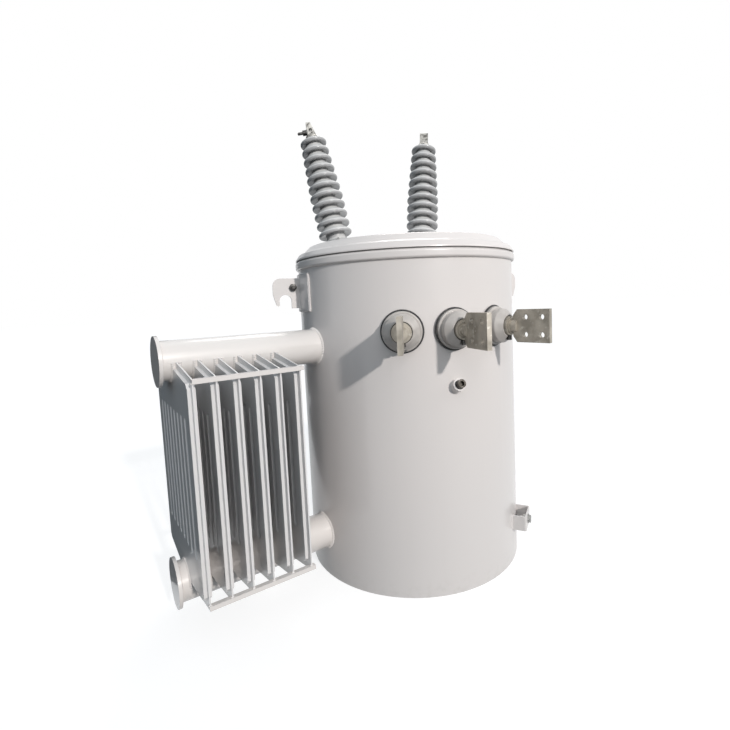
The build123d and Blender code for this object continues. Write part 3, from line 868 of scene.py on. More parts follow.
@dataclass(frozen=True)
class Turning:
    """A turned shape: a closed profile of radius and height swept round an axis."""

    profile: tuple[Pair, ...]
    steps: int = 48
    merge: float = 1e-7

    def spin(self, build: bmesh.types.BMesh, seat: Matrix) -> None:
        """Sweep the profile.

        Args:
            build: Mesh that takes the shape.
            seat: Frame whose Z is the axis, with its origin at height 0.
        """
        columns = []
        for step in range(self.steps):
            turn = tau * step / self.steps
            columns.append([
                build.verts.new(seat @ Vector((radius * cos(turn), radius * sin(turn), height)))
                for radius, height in self.profile
            ])
        bridge(build, columns, loop=True)
        bmesh.ops.remove_doubles(build, verts=build.verts[:], dist=self.merge)


@dataclass(frozen=True)
class Washer:
    """A flat washer with its outer edges broken."""

    bore: float
    outer: float
    thickness: float
    broken: float = 0.2
    steps: int = 40

    def lay(self, build: bmesh.types.BMesh, seat: Matrix) -> None:
        """Lay the washer on its seat.

        Args:
            build: Mesh that takes the washer.
            seat: Frame whose Z points away from the face under it.
        """
        edge = self.thickness * self.broken
        top = self.thickness
        flat = self.outer - edge
        rim = ((flat, 0.0), (self.outer, edge), (self.outer, top - edge), (flat, top))
        Turning(((self.bore, 0.0), *rim, (self.bore, top)), self.steps).spin(build, seat)


@dataclass(frozen=True)
class Seal:
    """A rubber ring whose edge bulges where it is squeezed."""

    bore: float
    outer: float
    thickness: float
    bulge: float = 0.0012
    steps: int = 64

    def lay(self, build: bmesh.types.BMesh, seat: Matrix) -> None:
        """Lay the seal on its seat.

        Args:
            build: Mesh that takes the seal.
            seat: Frame whose Z points away from the face under it.
        """
        edge, top = self.outer + self.bulge, self.thickness
        rim = ((edge, 0.0), (edge + self.bulge, top / 2), (edge, top))
        Turning(((self.bore, 0.0), *rim, (self.bore, top)), self.steps).spin(build, seat)


@dataclass(frozen=True)
class Hexagon:
    """A hexagon drawn with points enough to be joined to a circle."""

    across_flats: float
    steps: int = 48

    def reach(self, turn: float) -> float:
        """Return the distance of its edge from its middle at an angle."""
        return self.across_flats / 2 / cos(turn % (pi / 3) - pi / 6)


@dataclass(frozen=True)
class HexHead:
    """A nut or bolt head with the arcs that its chamfer cuts into the six flats.

    The chamfer's start, its span to the corners and the face are shares of half the width across the flats.
    """

    across_flats: float
    height: float
    chamfer: float = 0.0012
    start: float = 0.97
    span: float = 0.155
    face: float = 0.95

    def stand(self, build: bmesh.types.BMesh, seat: Matrix) -> None:
        """Stand the head on its seat.

        Args:
            build: Mesh that takes the head.
            seat: Frame whose Z points away from the clamped face.
        """
        outline = Hexagon(self.across_flats)
        inner = self.across_flats / 2
        foot, shoulder, top = [], [], []
        for step in range(outline.steps):
            turn = tau * step / outline.steps
            reach = outline.reach(turn)
            drop = self.chamfer * (reach - inner * self.start) / (inner * self.span)
            way = Vector((cos(turn), sin(turn), 0.0))
            foot.append(build.verts.new(seat @ (way * reach)))
            shoulder.append(build.verts.new(seat @ (way * reach + UP * (self.height - drop))))
            top.append(build.verts.new(seat @ (way * inner * self.face + UP * self.height)))
        bridge(build, [foot, shoulder, top])
        build.faces.new(foot)
        build.faces.new(top)


@dataclass(frozen=True)
class SocketHead:
    """The round head of a cap screw with its hexagon socket."""

    radius: float
    height: float
    across_flats: float
    depth: float
    edge: float = 0.0006

    def stand(self, build: bmesh.types.BMesh, seat: Matrix) -> None:
        """Stand the head on its seat.

        Args:
            build: Mesh that takes the head.
            seat: Frame whose Z points out of the socket.
        """
        socket = Hexagon(self.across_flats)
        columns = []
        for step in range(socket.steps):
            turn = tau * step / socket.steps
            way = Vector((cos(turn), sin(turn), 0.0))
            outline = (
                (self.radius, 0.0),
                (self.radius, self.height - self.edge),
                (self.radius - self.edge, self.height),
                (socket.reach(turn), self.height),
                (socket.reach(turn), self.height - self.depth),
            )
            columns.append([
                build.verts.new(seat @ (way * reach + UP * height)) for reach, height in outline
            ])
        rings = [list(ring) for ring in zip(*columns)]
        bridge(build, rings)
        build.faces.new(rings[0])
        build.faces.new(rings[-1])


@dataclass(frozen=True)
class ThreadedEnd:
    """The end of a stud with its thread cut as rings and a small lead chamfer.

    The thread's depth and the heights of its root and crest are shares of its pitch.
    """

    radius: float
    length: float
    pitch: float = 0.0018
    steps: int = 24
    deep: float = 0.45
    root: float = 0.2
    crest: float = 0.6

    def grow(self, build: bmesh.types.BMesh, seat: Matrix) -> None:
        """Grow the stud from its seat.

        Args:
            build: Mesh that takes the stud.
            seat: Frame whose Z runs along the stud.
        """
        depth = self.pitch * self.deep
        profile = [(0.0, 0.0), (self.radius - depth, 0.0)]
        for turn in range(int(self.length / self.pitch) - 1):
            foot = turn * self.pitch
            profile.append((self.radius - depth, foot + self.pitch * self.root))
            profile.append((self.radius, foot + self.pitch * self.crest))
        profile.append((self.radius - depth, self.length - self.pitch * self.crest))
        profile.append((self.radius - 2 * depth, self.length))
        profile.append((0.0, self.length))
        Turning(tuple(profile), self.steps).spin(build, seat)


class SubAssembly(ABC):
    """A group of nodes that is dressed together."""

    @abstractmethod
    def dress(self, wardrobe: Wardrobe) -> None:
        """Finish the group's nodes and add its small pieces."""


@dataclass
class Tank(SubAssembly):
    """The round tank: shell, bottom and the weld of its one upright seam."""

    radius: float = 0.330
    rim_height: float = 0.024
    seam_azimuth: float = 158.0
    seam_margin: float = 0.006
    seam_bead: WeldBead = WeldBead(radius=0.0040, flatness=0.35)

    def foot(self, azimuth: float, side: float) -> Vector:
        """Return the point on the wall beside an azimuth, at the level of the floor.

        Args:
            azimuth: Direction in degrees.
            side: Distance along the wall from there.

        Returns:
            The point.
        """
        return outward(azimuth) * sqrt(self.radius ** 2 - side ** 2) + sideways(azimuth) * side

    def weld_feet(
        self, build: bmesh.types.BMesh, bead: WeldBead, azimuth: float, half: float, box: Extent
    ) -> None:
        """Weld the two upright feet of a bracket to the wall.

        Args:
            build: Mesh that takes the beads.
            bead: The weld.
            azimuth: Direction of the bracket's middle in degrees.
            half: Distance of each foot from there.
            box: The bracket's box, for the ends of the beads.
        """
        for edge in (-1, 1):
            foot = self.foot(azimuth, half * edge)
            corner = outward(azimuth) + sideways(azimuth) * edge
            bead.lay(build, StraightSeam(foot + UP * box.low.z, foot + UP * box.high.z, corner))

    def dress(self, wardrobe: Wardrobe) -> None:
        """Paint the tank and weld its seam.

        Args:
            wardrobe: What makes the pieces and their materials.
        """
        wardrobe.dress(TANK_ENAMEL, "tank_shell", "tank_bottom")
        way = outward(self.seam_azimuth)
        top = Extent.of("tank_shell").high.z - self.rim_height
        start = way * self.radius + UP * self.seam_margin
        end = way * self.radius + UP * (top - self.seam_margin)
        build = bmesh.new()
        self.seam_bead.lay(build, StraightSeam(start, end, way))
        wardrobe.piece("tank_seam_weld", build, TANK_ENAMEL)


@dataclass
class Lid(SubAssembly):
    """The pressed lid on its painted-over gasket."""

    crown_r: float = 0.125
    shoulder_r: float = 0.295
    shoulder_drop: float = 0.008
    foot_r: float = 0.315
    foot_drop: float = 0.028

    def dress(self, wardrobe: Wardrobe) -> None:
        """Paint the lid and grey its gasket."""
        wardrobe.dress(TANK_ENAMEL, "lid")
        wardrobe.dress(PAINTED_SEAL, "lid_gasket")

    @cached_property
    def crown(self) -> float:
        """Return the height of the lid's flat middle."""
        return Extent.of("lid").high.z

    def height(self, reach: float) -> float:
        """Find how high the lid's upper face is.

        Args:
            reach: Distance from the lid's axis.

        Returns:
            Its height there.
        """
        if reach <= self.crown_r:
            return self.crown
        if reach <= self.shoulder_r:
            share = (reach - self.crown_r) / (self.shoulder_r - self.crown_r)
            return self.crown - self.shoulder_drop * share
        share = min(1.0, (reach - self.shoulder_r) / (self.foot_r - self.shoulder_r))
        return self.crown - self.shoulder_drop - (self.foot_drop - self.shoulder_drop) * share


@dataclass(frozen=True)
class Porcelain:
    """The glazed body: a round foot, a tapering core and sheds whose tops rise nearly to the shed above."""

    foot: float = -0.038
    foot_r: float = 0.040
    foot_height: float = 0.012
    foot_slope: float = 0.008
    core_r: float = 0.033
    core_top_r: float = 0.026
    top: float = 0.348
    sheds: int = 11
    pitch: float = 0.0331
    shed_r: float = 0.058
    shed_top_r: float = 0.046
    full_size: int = 5
    rim_reach: float = 0.0048
    rim_half: float = 0.0066
    rim_turn: float = radians(142.0)
    dish: float = 0.0020
    rise: float = 0.0262
    hollow: float = 1.12
    rim_steps: int = 9
    top_steps: int = 6
    around: int = 72

    def shed_radius(self, number: int) -> float:
        """Return a shed's radius; the sheds above the full-sized ones shrink evenly."""
        steps = max(0, number - self.full_size + 1) / (self.sheds - self.full_size)
        return self.shed_r + (self.shed_top_r - self.shed_r) * steps

    def core_radius(self, height: float) -> float:
        """Find how thick the core is.

        Args:
            height: Height over the lowest shed.

        Returns:
            The core's radius there.
        """
        start = self.foot + self.foot_height + self.foot_slope
        share = (height - start) / (self.top - start)
        return self.core_r + (self.core_top_r - self.core_r) * share

    def shed(self, number: int) -> list[Pair]:
        """Return the outline of one shed, from its root below to its root above.

        Args:
            number: The shed, counted from the lowest.

        Returns:
            Pairs of radius and height.
        """
        height = number * self.pitch
        middle = self.shed_radius(number) - self.rim_reach
        outline = [(self.core_radius(height), height - self.dish)]
        for step in range(self.rim_steps + 1):
            turn = self.rim_turn * step / self.rim_steps - pi / 2
            outline.append((middle + self.rim_reach * cos(turn), height + self.rim_half * sin(turn)))
        edge, start = outline[-1]
        end = min(height + self.rise, self.top)
        root = self.core_radius(end)
        for step in range(1, self.top_steps + 1):
            share = step / self.top_steps
            outline.append((edge + (root - edge) * share, start + (end - start) * share ** self.hollow))
        return outline

    def turn(self, build: bmesh.types.BMesh, seat: Matrix) -> None:
        """Turn the body.

        Args:
            build: Mesh that takes the body.
            seat: Frame whose Z runs up the bushing, with its origin at the lowest shed.
        """
        shoulder = self.foot + self.foot_height
        outline = [(0.0, self.foot), (self.foot_r, self.foot), (self.foot_r, shoulder)]
        outline.append((self.core_r, shoulder + self.foot_slope))
        for number in range(self.sheds):
            outline += self.shed(number)
        outline.append((0.0, self.top))
        Turning(tuple(outline), self.around).spin(build, seat)


@dataclass
class HighVoltageBushing(SubAssembly):
    """One porcelain bushing on its boss, with flange nuts, seals and its clamp terminal."""

    side: Side
    bolt_turn: float
    lid: Lid
    spread: float = 37.5
    tilt: float = 13.5
    first_shed_r: float = 0.271
    first_shed_z: float = 1.023
    boss_r: float = 0.046
    boss_low: float = -0.110
    flange_top: float = -0.038
    cap_at: float = 0.348
    bolt_at: float = 0.376
    clamp_half: float = 0.0126
    nut_circle: float = 0.0465
    nuts: int = 4
    base_seal: Seal = Seal(0.036, 0.040, 0.0026)
    cap_seal: Seal = Seal(0.020, 0.0240, 0.0022)
    flange_washer: Washer = Washer(0.0, 0.0058, 0.0009)
    flange_nut: HexHead = HexHead(0.0095, 0.0058, 0.0008)
    flange_stud: ThreadedEnd = ThreadedEnd(0.0030, 0.0110, 0.0010)
    clamp_washer: Washer = Washer(0.0052, 0.0105, 0.0022)
    boss_bead: WeldBead = WeldBead(radius=0.0036)
    porcelain: Porcelain = Porcelain()

    @property
    def azimuth(self) -> float:
        """Return the bushing's direction in degrees."""
        return 180.0 - self.side.value * self.spread

    @property
    def axis(self) -> Vector:
        """Return the unit vector up the bushing."""
        return outward(self.azimuth) * sin(radians(self.tilt)) + UP * cos(radians(self.tilt))

    def at(self, along: float) -> Vector:
        """Return the point on the axis at a distance above the lowest shed."""
        return outward(self.azimuth) * self.first_shed_r + UP * self.first_shed_z + self.axis * along

    def dress(self, wardrobe: Wardrobe) -> None:
        """Finish the bushing's nodes and add its small pieces.

        Args:
            wardrobe: What makes the pieces and their materials.
        """
        label = self.side.label
        wardrobe.dress(TANK_ENAMEL, f"hv_boss_{label}")
        wardrobe.dress(BRIGHT_TIN, f"hv_terminal_{label}")
        wardrobe.dress(BLACK_STEEL, f"hv_clamp_bolt_{label}")
        self.glaze_porcelain(wardrobe)
        self.weld_boss(wardrobe)
        self.bolt_flange(wardrobe)
        self.seal_ends(wardrobe)
        self.pack_clamp(wardrobe)

    def glaze_porcelain(self, wardrobe: Wardrobe) -> None:
        """Put the finer porcelain body in the place of its plainer node.

        Args:
            wardrobe: What makes the pieces and their materials.
        """
        build = bmesh.new()
        self.porcelain.turn(build, seat_at(self.at(0.0), self.axis))
        body = wardrobe.piece(f"hv_porcelain_{self.side.label}", build, GREY_GLAZE)
        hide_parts(f"hv_bushing_{self.side.label}")

    def weld_boss(self, wardrobe: Wardrobe) -> None:
        """Weld the boss where it comes through the lid.

        Args:
            wardrobe: What makes the pieces and their materials.
        """
        build = bmesh.new()
        self.boss_bead.lay(build, BossSeam(self))
        wardrobe.piece(f"hv_boss_weld_{self.side.label}", build, TANK_ENAMEL)

    def bolt_flange(self, wardrobe: Wardrobe) -> None:
        """Add the nuts and studs round the boss's flange.

        Args:
            wardrobe: What makes the pieces and their materials.
        """
        build = bmesh.new()
        flange = seat_at(self.at(self.flange_top), self.axis)
        for number in range(self.nuts):
            turn = tau * (number + 0.5) / self.nuts
            spot = Vector((self.nut_circle * cos(turn), self.nut_circle * sin(turn), 0.0))
            seat = flange @ Matrix.Translation(spot)
            self.flange_washer.lay(build, seat)
            self.flange_nut.stand(build, raised(seat, self.flange_washer.thickness))
            self.flange_stud.grow(build, seat)
        wardrobe.piece(f"hv_flange_nuts_{self.side.label}", build, ZINC)

    def seal_ends(self, wardrobe: Wardrobe) -> None:
        """Add the seals under the porcelain and under its metal cap.

        Args:
            wardrobe: What makes the pieces and their materials.
        """
        build = bmesh.new()
        self.base_seal.lay(build, seat_at(self.at(self.flange_top), self.axis))
        wardrobe.piece(f"hv_base_gasket_{self.side.label}", build, BLACK_RUBBER)
        build = bmesh.new()
        self.cap_seal.lay(build, seat_at(self.at(self.cap_at - self.cap_seal.thickness / 2), self.axis))
        wardrobe.piece(f"hv_cap_seal_{self.side.label}", build, BLACK_RUBBER)

    def pack_clamp(self, wardrobe: Wardrobe) -> None:
        """Add the washer under the clamp's nut.

        Args:
            wardrobe: What makes the pieces and their materials.
        """
        turn = radians(self.bolt_turn)
        across = -sideways(self.azimuth)
        away = self.axis.cross(across) * cos(turn) + across * sin(turn)
        build = bmesh.new()
        self.clamp_washer.lay(build, seat_at(self.at(self.bolt_at) + away * self.clamp_half, away))
        wardrobe.piece(f"hv_clamp_washer_{self.side.label}", build, ZINC)


@dataclass(frozen=True)
class BossSeam(Seam):
    """The line where a leaning boss comes through the lid."""

    bushing: HighVoltageBushing
    halvings: int = 24

    def out(self, share: float) -> Vector:
        """Return the unit vector out of the boss at a share of a turn."""
        across = sideways(self.bushing.azimuth)
        return across * cos(tau * share) + self.bushing.axis.cross(across) * sin(tau * share)

    def point(self, share: float) -> Vector:
        """Find where the boss's wall comes through the lid, by halving.

        Args:
            share: Share of a turn round the boss.

        Returns:
            The point of the wall that lies on the lid.
        """
        wall = self.out(share) * self.bushing.boss_r
        low, high = self.bushing.boss_low, self.bushing.flange_top
        for _ in range(self.halvings):
            middle = (low + high) / 2
            here = self.bushing.at(middle) + wall
            if here.z > self.bushing.lid.height(hypot(here.x, here.y)):
                high = middle
            else:
                low = middle
        return self.bushing.at(low) + wall

    def lift(self, share: float) -> Vector:
        """Return the direction out of the corner between boss and lid."""
        return self.out(share) + UP


@dataclass
class LowVoltageBushing(SubAssembly):
    """One resin bushing through the tank wall, with its spade terminal and clamp screw."""

    label: str
    azimuth: float
    wall_r: float = 0.330
    recess_floor: float = 0.370
    recess_r: float = 0.0272
    hub_r: float = 0.025
    seal_height: float = 0.0044
    seal_steps: int = 64
    screw_at: float = 0.3775
    gasket_lip: Seal = Seal(0.050, 0.0530, 0.0042, 0.0012)
    shank: Washer = Washer(0.0, 0.0040, 0.0045)
    screw_head: SocketHead = SocketHead(0.0065, 0.0100, 0.0060, 0.0052)

    @cached_property
    def root(self) -> Vector:
        """Return the point where the bushing's axis crosses the tank's."""
        return UP * Extent.of(f"lv_gasket_{self.label}").middle.z

    def at(self, reach: float) -> Vector:
        """Return the point on the bushing's axis at a distance from the tank's."""
        return self.root + outward(self.azimuth) * reach

    def dress(self, wardrobe: Wardrobe) -> None:
        """Finish the bushing's nodes and add its small pieces.

        Args:
            wardrobe: What makes the pieces and their materials.
        """
        wardrobe.dress(GREY_RESIN, f"lv_bushing_{self.label}")
        wardrobe.dress(BLACK_RUBBER, f"lv_gasket_{self.label}")
        wardrobe.dress(TINNED_BRASS, f"lv_terminal_{self.label}")
        self.squeeze_gasket(wardrobe)
        self.seal_hub(wardrobe)
        self.clamp_hub(wardrobe)

    def squeeze_gasket(self, wardrobe: Wardrobe) -> None:
        """Add the lip of the gasket that the flange squeezes out.

        Args:
            wardrobe: What makes the pieces and their materials.
        """
        build = bmesh.new()
        self.gasket_lip.lay(build, seat_at(self.at(self.wall_r), outward(self.azimuth)))
        wardrobe.piece(f"lv_gasket_lip_{self.label}", build, BLACK_RUBBER)

    def seal_hub(self, wardrobe: Wardrobe) -> None:
        """Add the dark seal at the bottom of the gap round the hub.

        Args:
            wardrobe: What makes the pieces and their materials.
        """
        build = bmesh.new()
        inner, outer = self.hub_r, self.recess_r
        profile = ((inner, 0.0), (outer, 0.0), (outer, self.seal_height), (inner, self.seal_height))
        seat = seat_at(self.at(self.recess_floor), outward(self.azimuth))
        Turning(profile, self.seal_steps).spin(build, seat)
        wardrobe.piece(f"lv_hub_seal_{self.label}", build, BLACK_RUBBER)

    def clamp_hub(self, wardrobe: Wardrobe) -> None:
        """Add the cap screw that clamps the hub, in the notch under it.

        Args:
            wardrobe: What makes the pieces and their materials.
        """
        build = bmesh.new()
        seat = seat_at(self.at(self.screw_at) - UP * (self.hub_r - SINK), -UP)
        self.shank.lay(build, seat)
        self.screw_head.stand(build, raised(seat, self.shank.thickness - SINK))
        wardrobe.piece(f"lv_hub_screw_{self.label}", build, BLACK_STEEL)


@dataclass
class LiftingLug(SubAssembly):
    """One hooked lug on its rolled pad, with the bolt through its eye and the welds that hold both."""

    side: Side
    tank: Tank
    pad_thickness: float = 0.006
    pad_half_angle: float = 15.0
    bead_height: float = 0.4
    eye_reach: float = 0.354
    eye_height: float = 0.834
    pad_bead: WeldBead = WeldBead(radius=0.0036)
    lug_bead: WeldBead = WeldBead(radius=0.0034)
    nut: HexHead = HexHead(0.0195, 0.0090)
    bolt_end: ThreadedEnd = ThreadedEnd(0.0060, 0.0160, 0.0018)
    bolt_head: HexHead = HexHead(0.0195, 0.0075)

    @property
    def azimuth(self) -> float:
        """Return the lug's direction in degrees."""
        return 90.0 * self.side.value

    def dress(self, wardrobe: Wardrobe) -> None:
        """Paint the lug and pad, weld them and add the bolt.

        Args:
            wardrobe: What makes the pieces and their materials.
        """
        wardrobe.dress(TANK_ENAMEL, f"lug_pad_{self.side.label}", f"lifting_lug_{self.side.label}")
        self.weld_plates(wardrobe)
        self.bolt_eye(wardrobe)

    def weld_plates(self, wardrobe: Wardrobe) -> None:
        """Weld the pad to the tank and the lug to the pad.

        Args:
            wardrobe: What makes the pieces and their materials.
        """
        build = bmesh.new()
        pad = Extent.of(f"lug_pad_{self.side.label}")
        lug = Extent.of(f"lifting_lug_{self.side.label}")
        reach = self.tank.radius + self.bead_height * self.pad_thickness
        self.pad_bead.lay(build, PatchSeam(reach, self.azimuth, self.pad_half_angle, pad.low.z, pad.high.z))
        way = outward(self.azimuth)
        for edge in (-1, 1):
            side = sideways(self.azimuth) * edge
            foot = way * (self.tank.radius + self.pad_thickness) + side * lug.half.y
            self.lug_bead.lay(build, StraightSeam(foot + UP * lug.low.z, foot + UP * lug.high.z, way + side))
        wardrobe.piece(f"lug_welds_{self.side.label}", build, TANK_ENAMEL)

    def bolt_eye(self, wardrobe: Wardrobe) -> None:
        """Add the bolt through the lug's eye, with its nut towards the low-voltage side.

        Args:
            wardrobe: What makes the pieces and their materials.
        """
        build = bmesh.new()
        half = Extent.of(f"lifting_lug_{self.side.label}").half.y
        eye = outward(self.azimuth) * self.eye_reach + UP * self.eye_height
        front = seat_at(eye + outward(0) * half, outward(0))
        self.nut.stand(build, front)
        self.bolt_end.grow(build, raised(front, -SINK))
        self.bolt_head.stand(build, seat_at(eye - outward(0) * half, -outward(0)))
        wardrobe.piece(f"lug_bolt_{self.side.label}", build, BLACK_STEEL)


@dataclass
class LevelPort(SubAssembly):
    """The threaded coupling for the oil level and its socket plug."""

    tank: Tank
    height: float = 0.556
    tilt: float = 22.0
    coupling_r: float = 0.0165
    coupling_length: float = 0.020
    bead: WeldBead = WeldBead(radius=0.0026)
    thread: ThreadedEnd = ThreadedEnd(0.0122, 0.0045, 0.0014, 40)

    def dress(self, wardrobe: Wardrobe) -> None:
        """Finish the coupling and plug, weld the coupling and cut the plug's thread.

        Args:
            wardrobe: What makes the pieces and their materials.
        """
        wardrobe.dress(TANK_ENAMEL, "level_coupling")
        wardrobe.dress(DARK_BRONZE, "level_plug")
        slope = cos(radians(self.tilt))
        build = bmesh.new()
        self.bead.lay(build, SaddleSeam(self.tank.radius, 0.0, self.height, self.coupling_r, 1.0 / slope))
        wardrobe.piece("level_coupling_weld", build, TANK_ENAMEL)
        axis = outward(0) * slope + UP * sin(radians(self.tilt))
        foot = outward(0) * self.tank.radius + UP * self.height + axis * (self.coupling_length - SINK)
        build = bmesh.new()
        self.thread.grow(build, seat_at(foot, axis))
        wardrobe.piece("level_plug_thread", build, DARK_BRONZE)


@dataclass
class GroundPoint(SubAssembly):
    """The bent ground bracket with its bolt, washers, inner nut and welds."""

    tank: Tank
    azimuth: float = 46.5
    reach: float = 0.038
    plate: float = 0.004
    half_length: float = 0.040
    outer_washer: Washer = Washer(0.0062, 0.0135, 0.0016)
    inner_washer: Washer = Washer(0.0062, 0.0125, 0.0016)
    nut: HexHead = HexHead(0.0185, 0.0095)
    bead: WeldBead = WeldBead(radius=0.0026)

    def dress(self, wardrobe: Wardrobe) -> None:
        """Finish the bracket and bolt and add washers, nut and welds.

        Args:
            wardrobe: What makes the pieces and their materials.
        """
        wardrobe.dress(TANK_ENAMEL, "ground_bracket")
        wardrobe.dress(ZINC, "ground_bolt")
        box = Extent.of("ground_bracket")
        way = outward(self.azimuth)
        face = way * (self.tank.radius + self.reach) + UP * box.middle.z
        inside = seat_at(face - way * self.plate, -way)
        build = bmesh.new()
        self.outer_washer.lay(build, seat_at(face, way))
        self.inner_washer.lay(build, inside)
        self.nut.stand(build, raised(inside, self.inner_washer.thickness))
        wardrobe.piece("ground_washers", build, ZINC)
        build = bmesh.new()
        self.tank.weld_feet(build, self.bead, self.azimuth, self.half_length, box)
        wardrobe.piece("ground_bracket_welds", build, TANK_ENAMEL)


@dataclass
class PoleBracket(SubAssembly):
    """One slotted bracket on the back of the tank, with the welds down both its feet."""

    level: Level
    tank: Tank
    azimuth: float = 180.0
    bead: WeldBead = WeldBead(radius=0.0038)

    def dress(self, wardrobe: Wardrobe) -> None:
        """Paint the bracket and weld its feet.

        Args:
            wardrobe: What makes the pieces and their materials.
        """
        node = f"pole_bracket_{self.level.label}"
        wardrobe.dress(TANK_ENAMEL, node)
        box = Extent.of(node)
        build = bmesh.new()
        self.tank.weld_feet(build, self.bead, self.azimuth, box.half.x, box)
        wardrobe.piece(f"pole_bracket_welds_{self.level.label}", build, TANK_ENAMEL)


@dataclass
class Radiator(SubAssembly):
    """Two headers and six fluted panels, joined by welded collars and tied by four bars."""

    tank: Tank
    azimuth: float = -74.0
    header_end: float = 0.729
    panel_count: int = 6
    panel_first: float = 0.4657
    panel_pitch: float = 0.0468
    panel_half: float = 0.1975
    body_half_thickness: float = 0.0085
    bar_depth: float = 0.005
    tack_offset: float = 0.002
    tack_length: float = 0.0085
    tank_bead: WeldBead = WeldBead(radius=0.0048)
    cap_bead: WeldBead = WeldBead(radius=0.0036)
    collar_bead: WeldBead = WeldBead(radius=0.0042)
    tack_bead: WeldBead = WeldBead(radius=0.0019)

    @property
    def way(self) -> Vector:
        """Return the unit vector along the headers."""
        return outward(self.azimuth)

    @property
    def across(self) -> Vector:
        """Return the unit vector along the panels' width."""
        return sideways(self.azimuth)

    def spot(self, number: int) -> Vector:
        """Return the middle of a panel's plan."""
        return self.way * (self.panel_first + number * self.panel_pitch)

    def dress(self, wardrobe: Wardrobe) -> None:
        """Paint the radiator and add its welds.

        Args:
            wardrobe: What makes the pieces and their materials.
        """
        panels = [f"radiator_panel_{number + 1}" for number in range(self.panel_count)]
        wardrobe.dress(PANEL_ENAMEL_BLUE_SHADE, *panels)
        for level in Level:
            label = level.label
            wardrobe.dress(RADIATOR_ENAMEL, f"header_{label}", f"header_cap_{label}")
            wardrobe.dress(RADIATOR_ENAMEL, f"tie_bar_{label}_front", f"tie_bar_{label}_rear")
            header = Extent.of(f"header_{label}")
            self.weld_header(wardrobe, level, header)
            self.weld_collars(wardrobe, level, header)
            self.tack_bars(wardrobe, level)

    def weld_header(self, wardrobe: Wardrobe, level: Level, header: Extent) -> None:
        """Weld a header to the tank and its cap to the header.

        Args:
            wardrobe: What makes the piece.
            level: Which of the two headers.
            header: The header's box.
        """
        radius, height = header.half.z, header.middle.z
        build = bmesh.new()
        self.tank_bead.lay(build, SaddleSeam(self.tank.radius, self.azimuth, height, radius))
        cap = self.way * self.header_end + UP * height
        self.cap_bead.lay(build, RoundSeam(cap, self.across, UP, radius, -self.way))
        wardrobe.piece(f"header_welds_{level.label}", build, RADIATOR_ENAMEL)

    def weld_collars(self, wardrobe: Wardrobe, level: Level, header: Extent) -> None:
        """Weld each panel to a header, on both its faces.

        Args:
            wardrobe: What makes the piece.
            level: Which of the two headers.
            header: The header's box.
        """
        build = bmesh.new()
        inward = UP * level.value
        for number in range(self.panel_count):
            for face in (-1, 1):
                side = self.way * face
                middle = self.spot(number) + side * self.body_half_thickness + UP * header.middle.z
                self.collar_bead.lay(build, RoundSeam(middle, self.across, inward, header.half.z, side, pi))
        wardrobe.piece(f"panel_collars_{level.label}", build, RADIATOR_ENAMEL)

    def tack_bars(self, wardrobe: Wardrobe, level: Level) -> None:
        """Tack the tie bars to each panel's corners.

        Args:
            wardrobe: What makes the piece.
            level: Which of the two ends of the panels.
        """
        build = bmesh.new()
        height = Extent.of(f"tie_bar_{level.label}_front").middle.z + level.value * self.bar_depth
        for number in range(self.panel_count):
            for end in (-1, 1):
                outer = self.across * end * self.panel_half
                inner = outer - self.across * end * self.tack_length
                for face in (-1, 1):
                    foot = self.spot(number) + self.way * (face * self.tack_offset) + UP * height
                    corner = self.way * face + UP * level.value
                    self.tack_bead.lay(build, StraightSeam(foot + inner, foot + outer, corner))
        wardrobe.piece(f"tie_bar_tacks_{level.label}", build, RADIATOR_ENAMEL)


def hang_lamp(name: str, kind: str, power: float, colour: Colour, way: Vector) -> bpy.types.Object:
    """Hang a lamp that shines from a direction.

    Args:
        name: Name of the lamp.
        kind: Blender's type of light.
        power: Its energy, in the unit of that type.
        colour: Colour of its light.
        way: Direction that the light comes from.

    Returns:
        The lamp, still at the origin.
    """
    light = bpy.data.lights.new(name, kind)
    light.energy = power
    light.color = colour
    lamp = bpy.data.objects.new(name, light)
    lamp.rotation_euler = way.to_track_quat("Z", "Y").to_euler()
    bpy.context.scene.collection.objects.link(lamp)
    return lamp


@dataclass(frozen=True)
class Lamp:
    """A distant lamp, by its direction and the angle that it fills in the sky, in degrees."""

    name: str
    azimuth: float
    height: float
    strength: float
    width: float
    colour: Colour = (1.0, 0.960, 0.925)

    def hang(self) -> None:
        """Hang the lamp."""
        way = outward(self.azimuth) * cos(radians(self.height)) + UP * sin(radians(self.height))
        lamp = hang_lamp(self.name, "SUN", self.strength, self.colour, way)
        lamp.data.angle = radians(self.width)


@dataclass(frozen=True)
class NearLamp:
    """A square lamp near the object, with its power in watts and its side in metres."""

    name: str
    place: Triple
    target: Triple
    power: float
    side: float
    colour: Colour = (1.0, 0.960, 0.940)

    def hang(self) -> None:
        """Hang the lamp."""
        way = Vector(self.place) - Vector(self.target)
        lamp = hang_lamp(self.name, "AREA", self.power, self.colour, way)
        lamp.data.size = self.side
        lamp.location = self.place


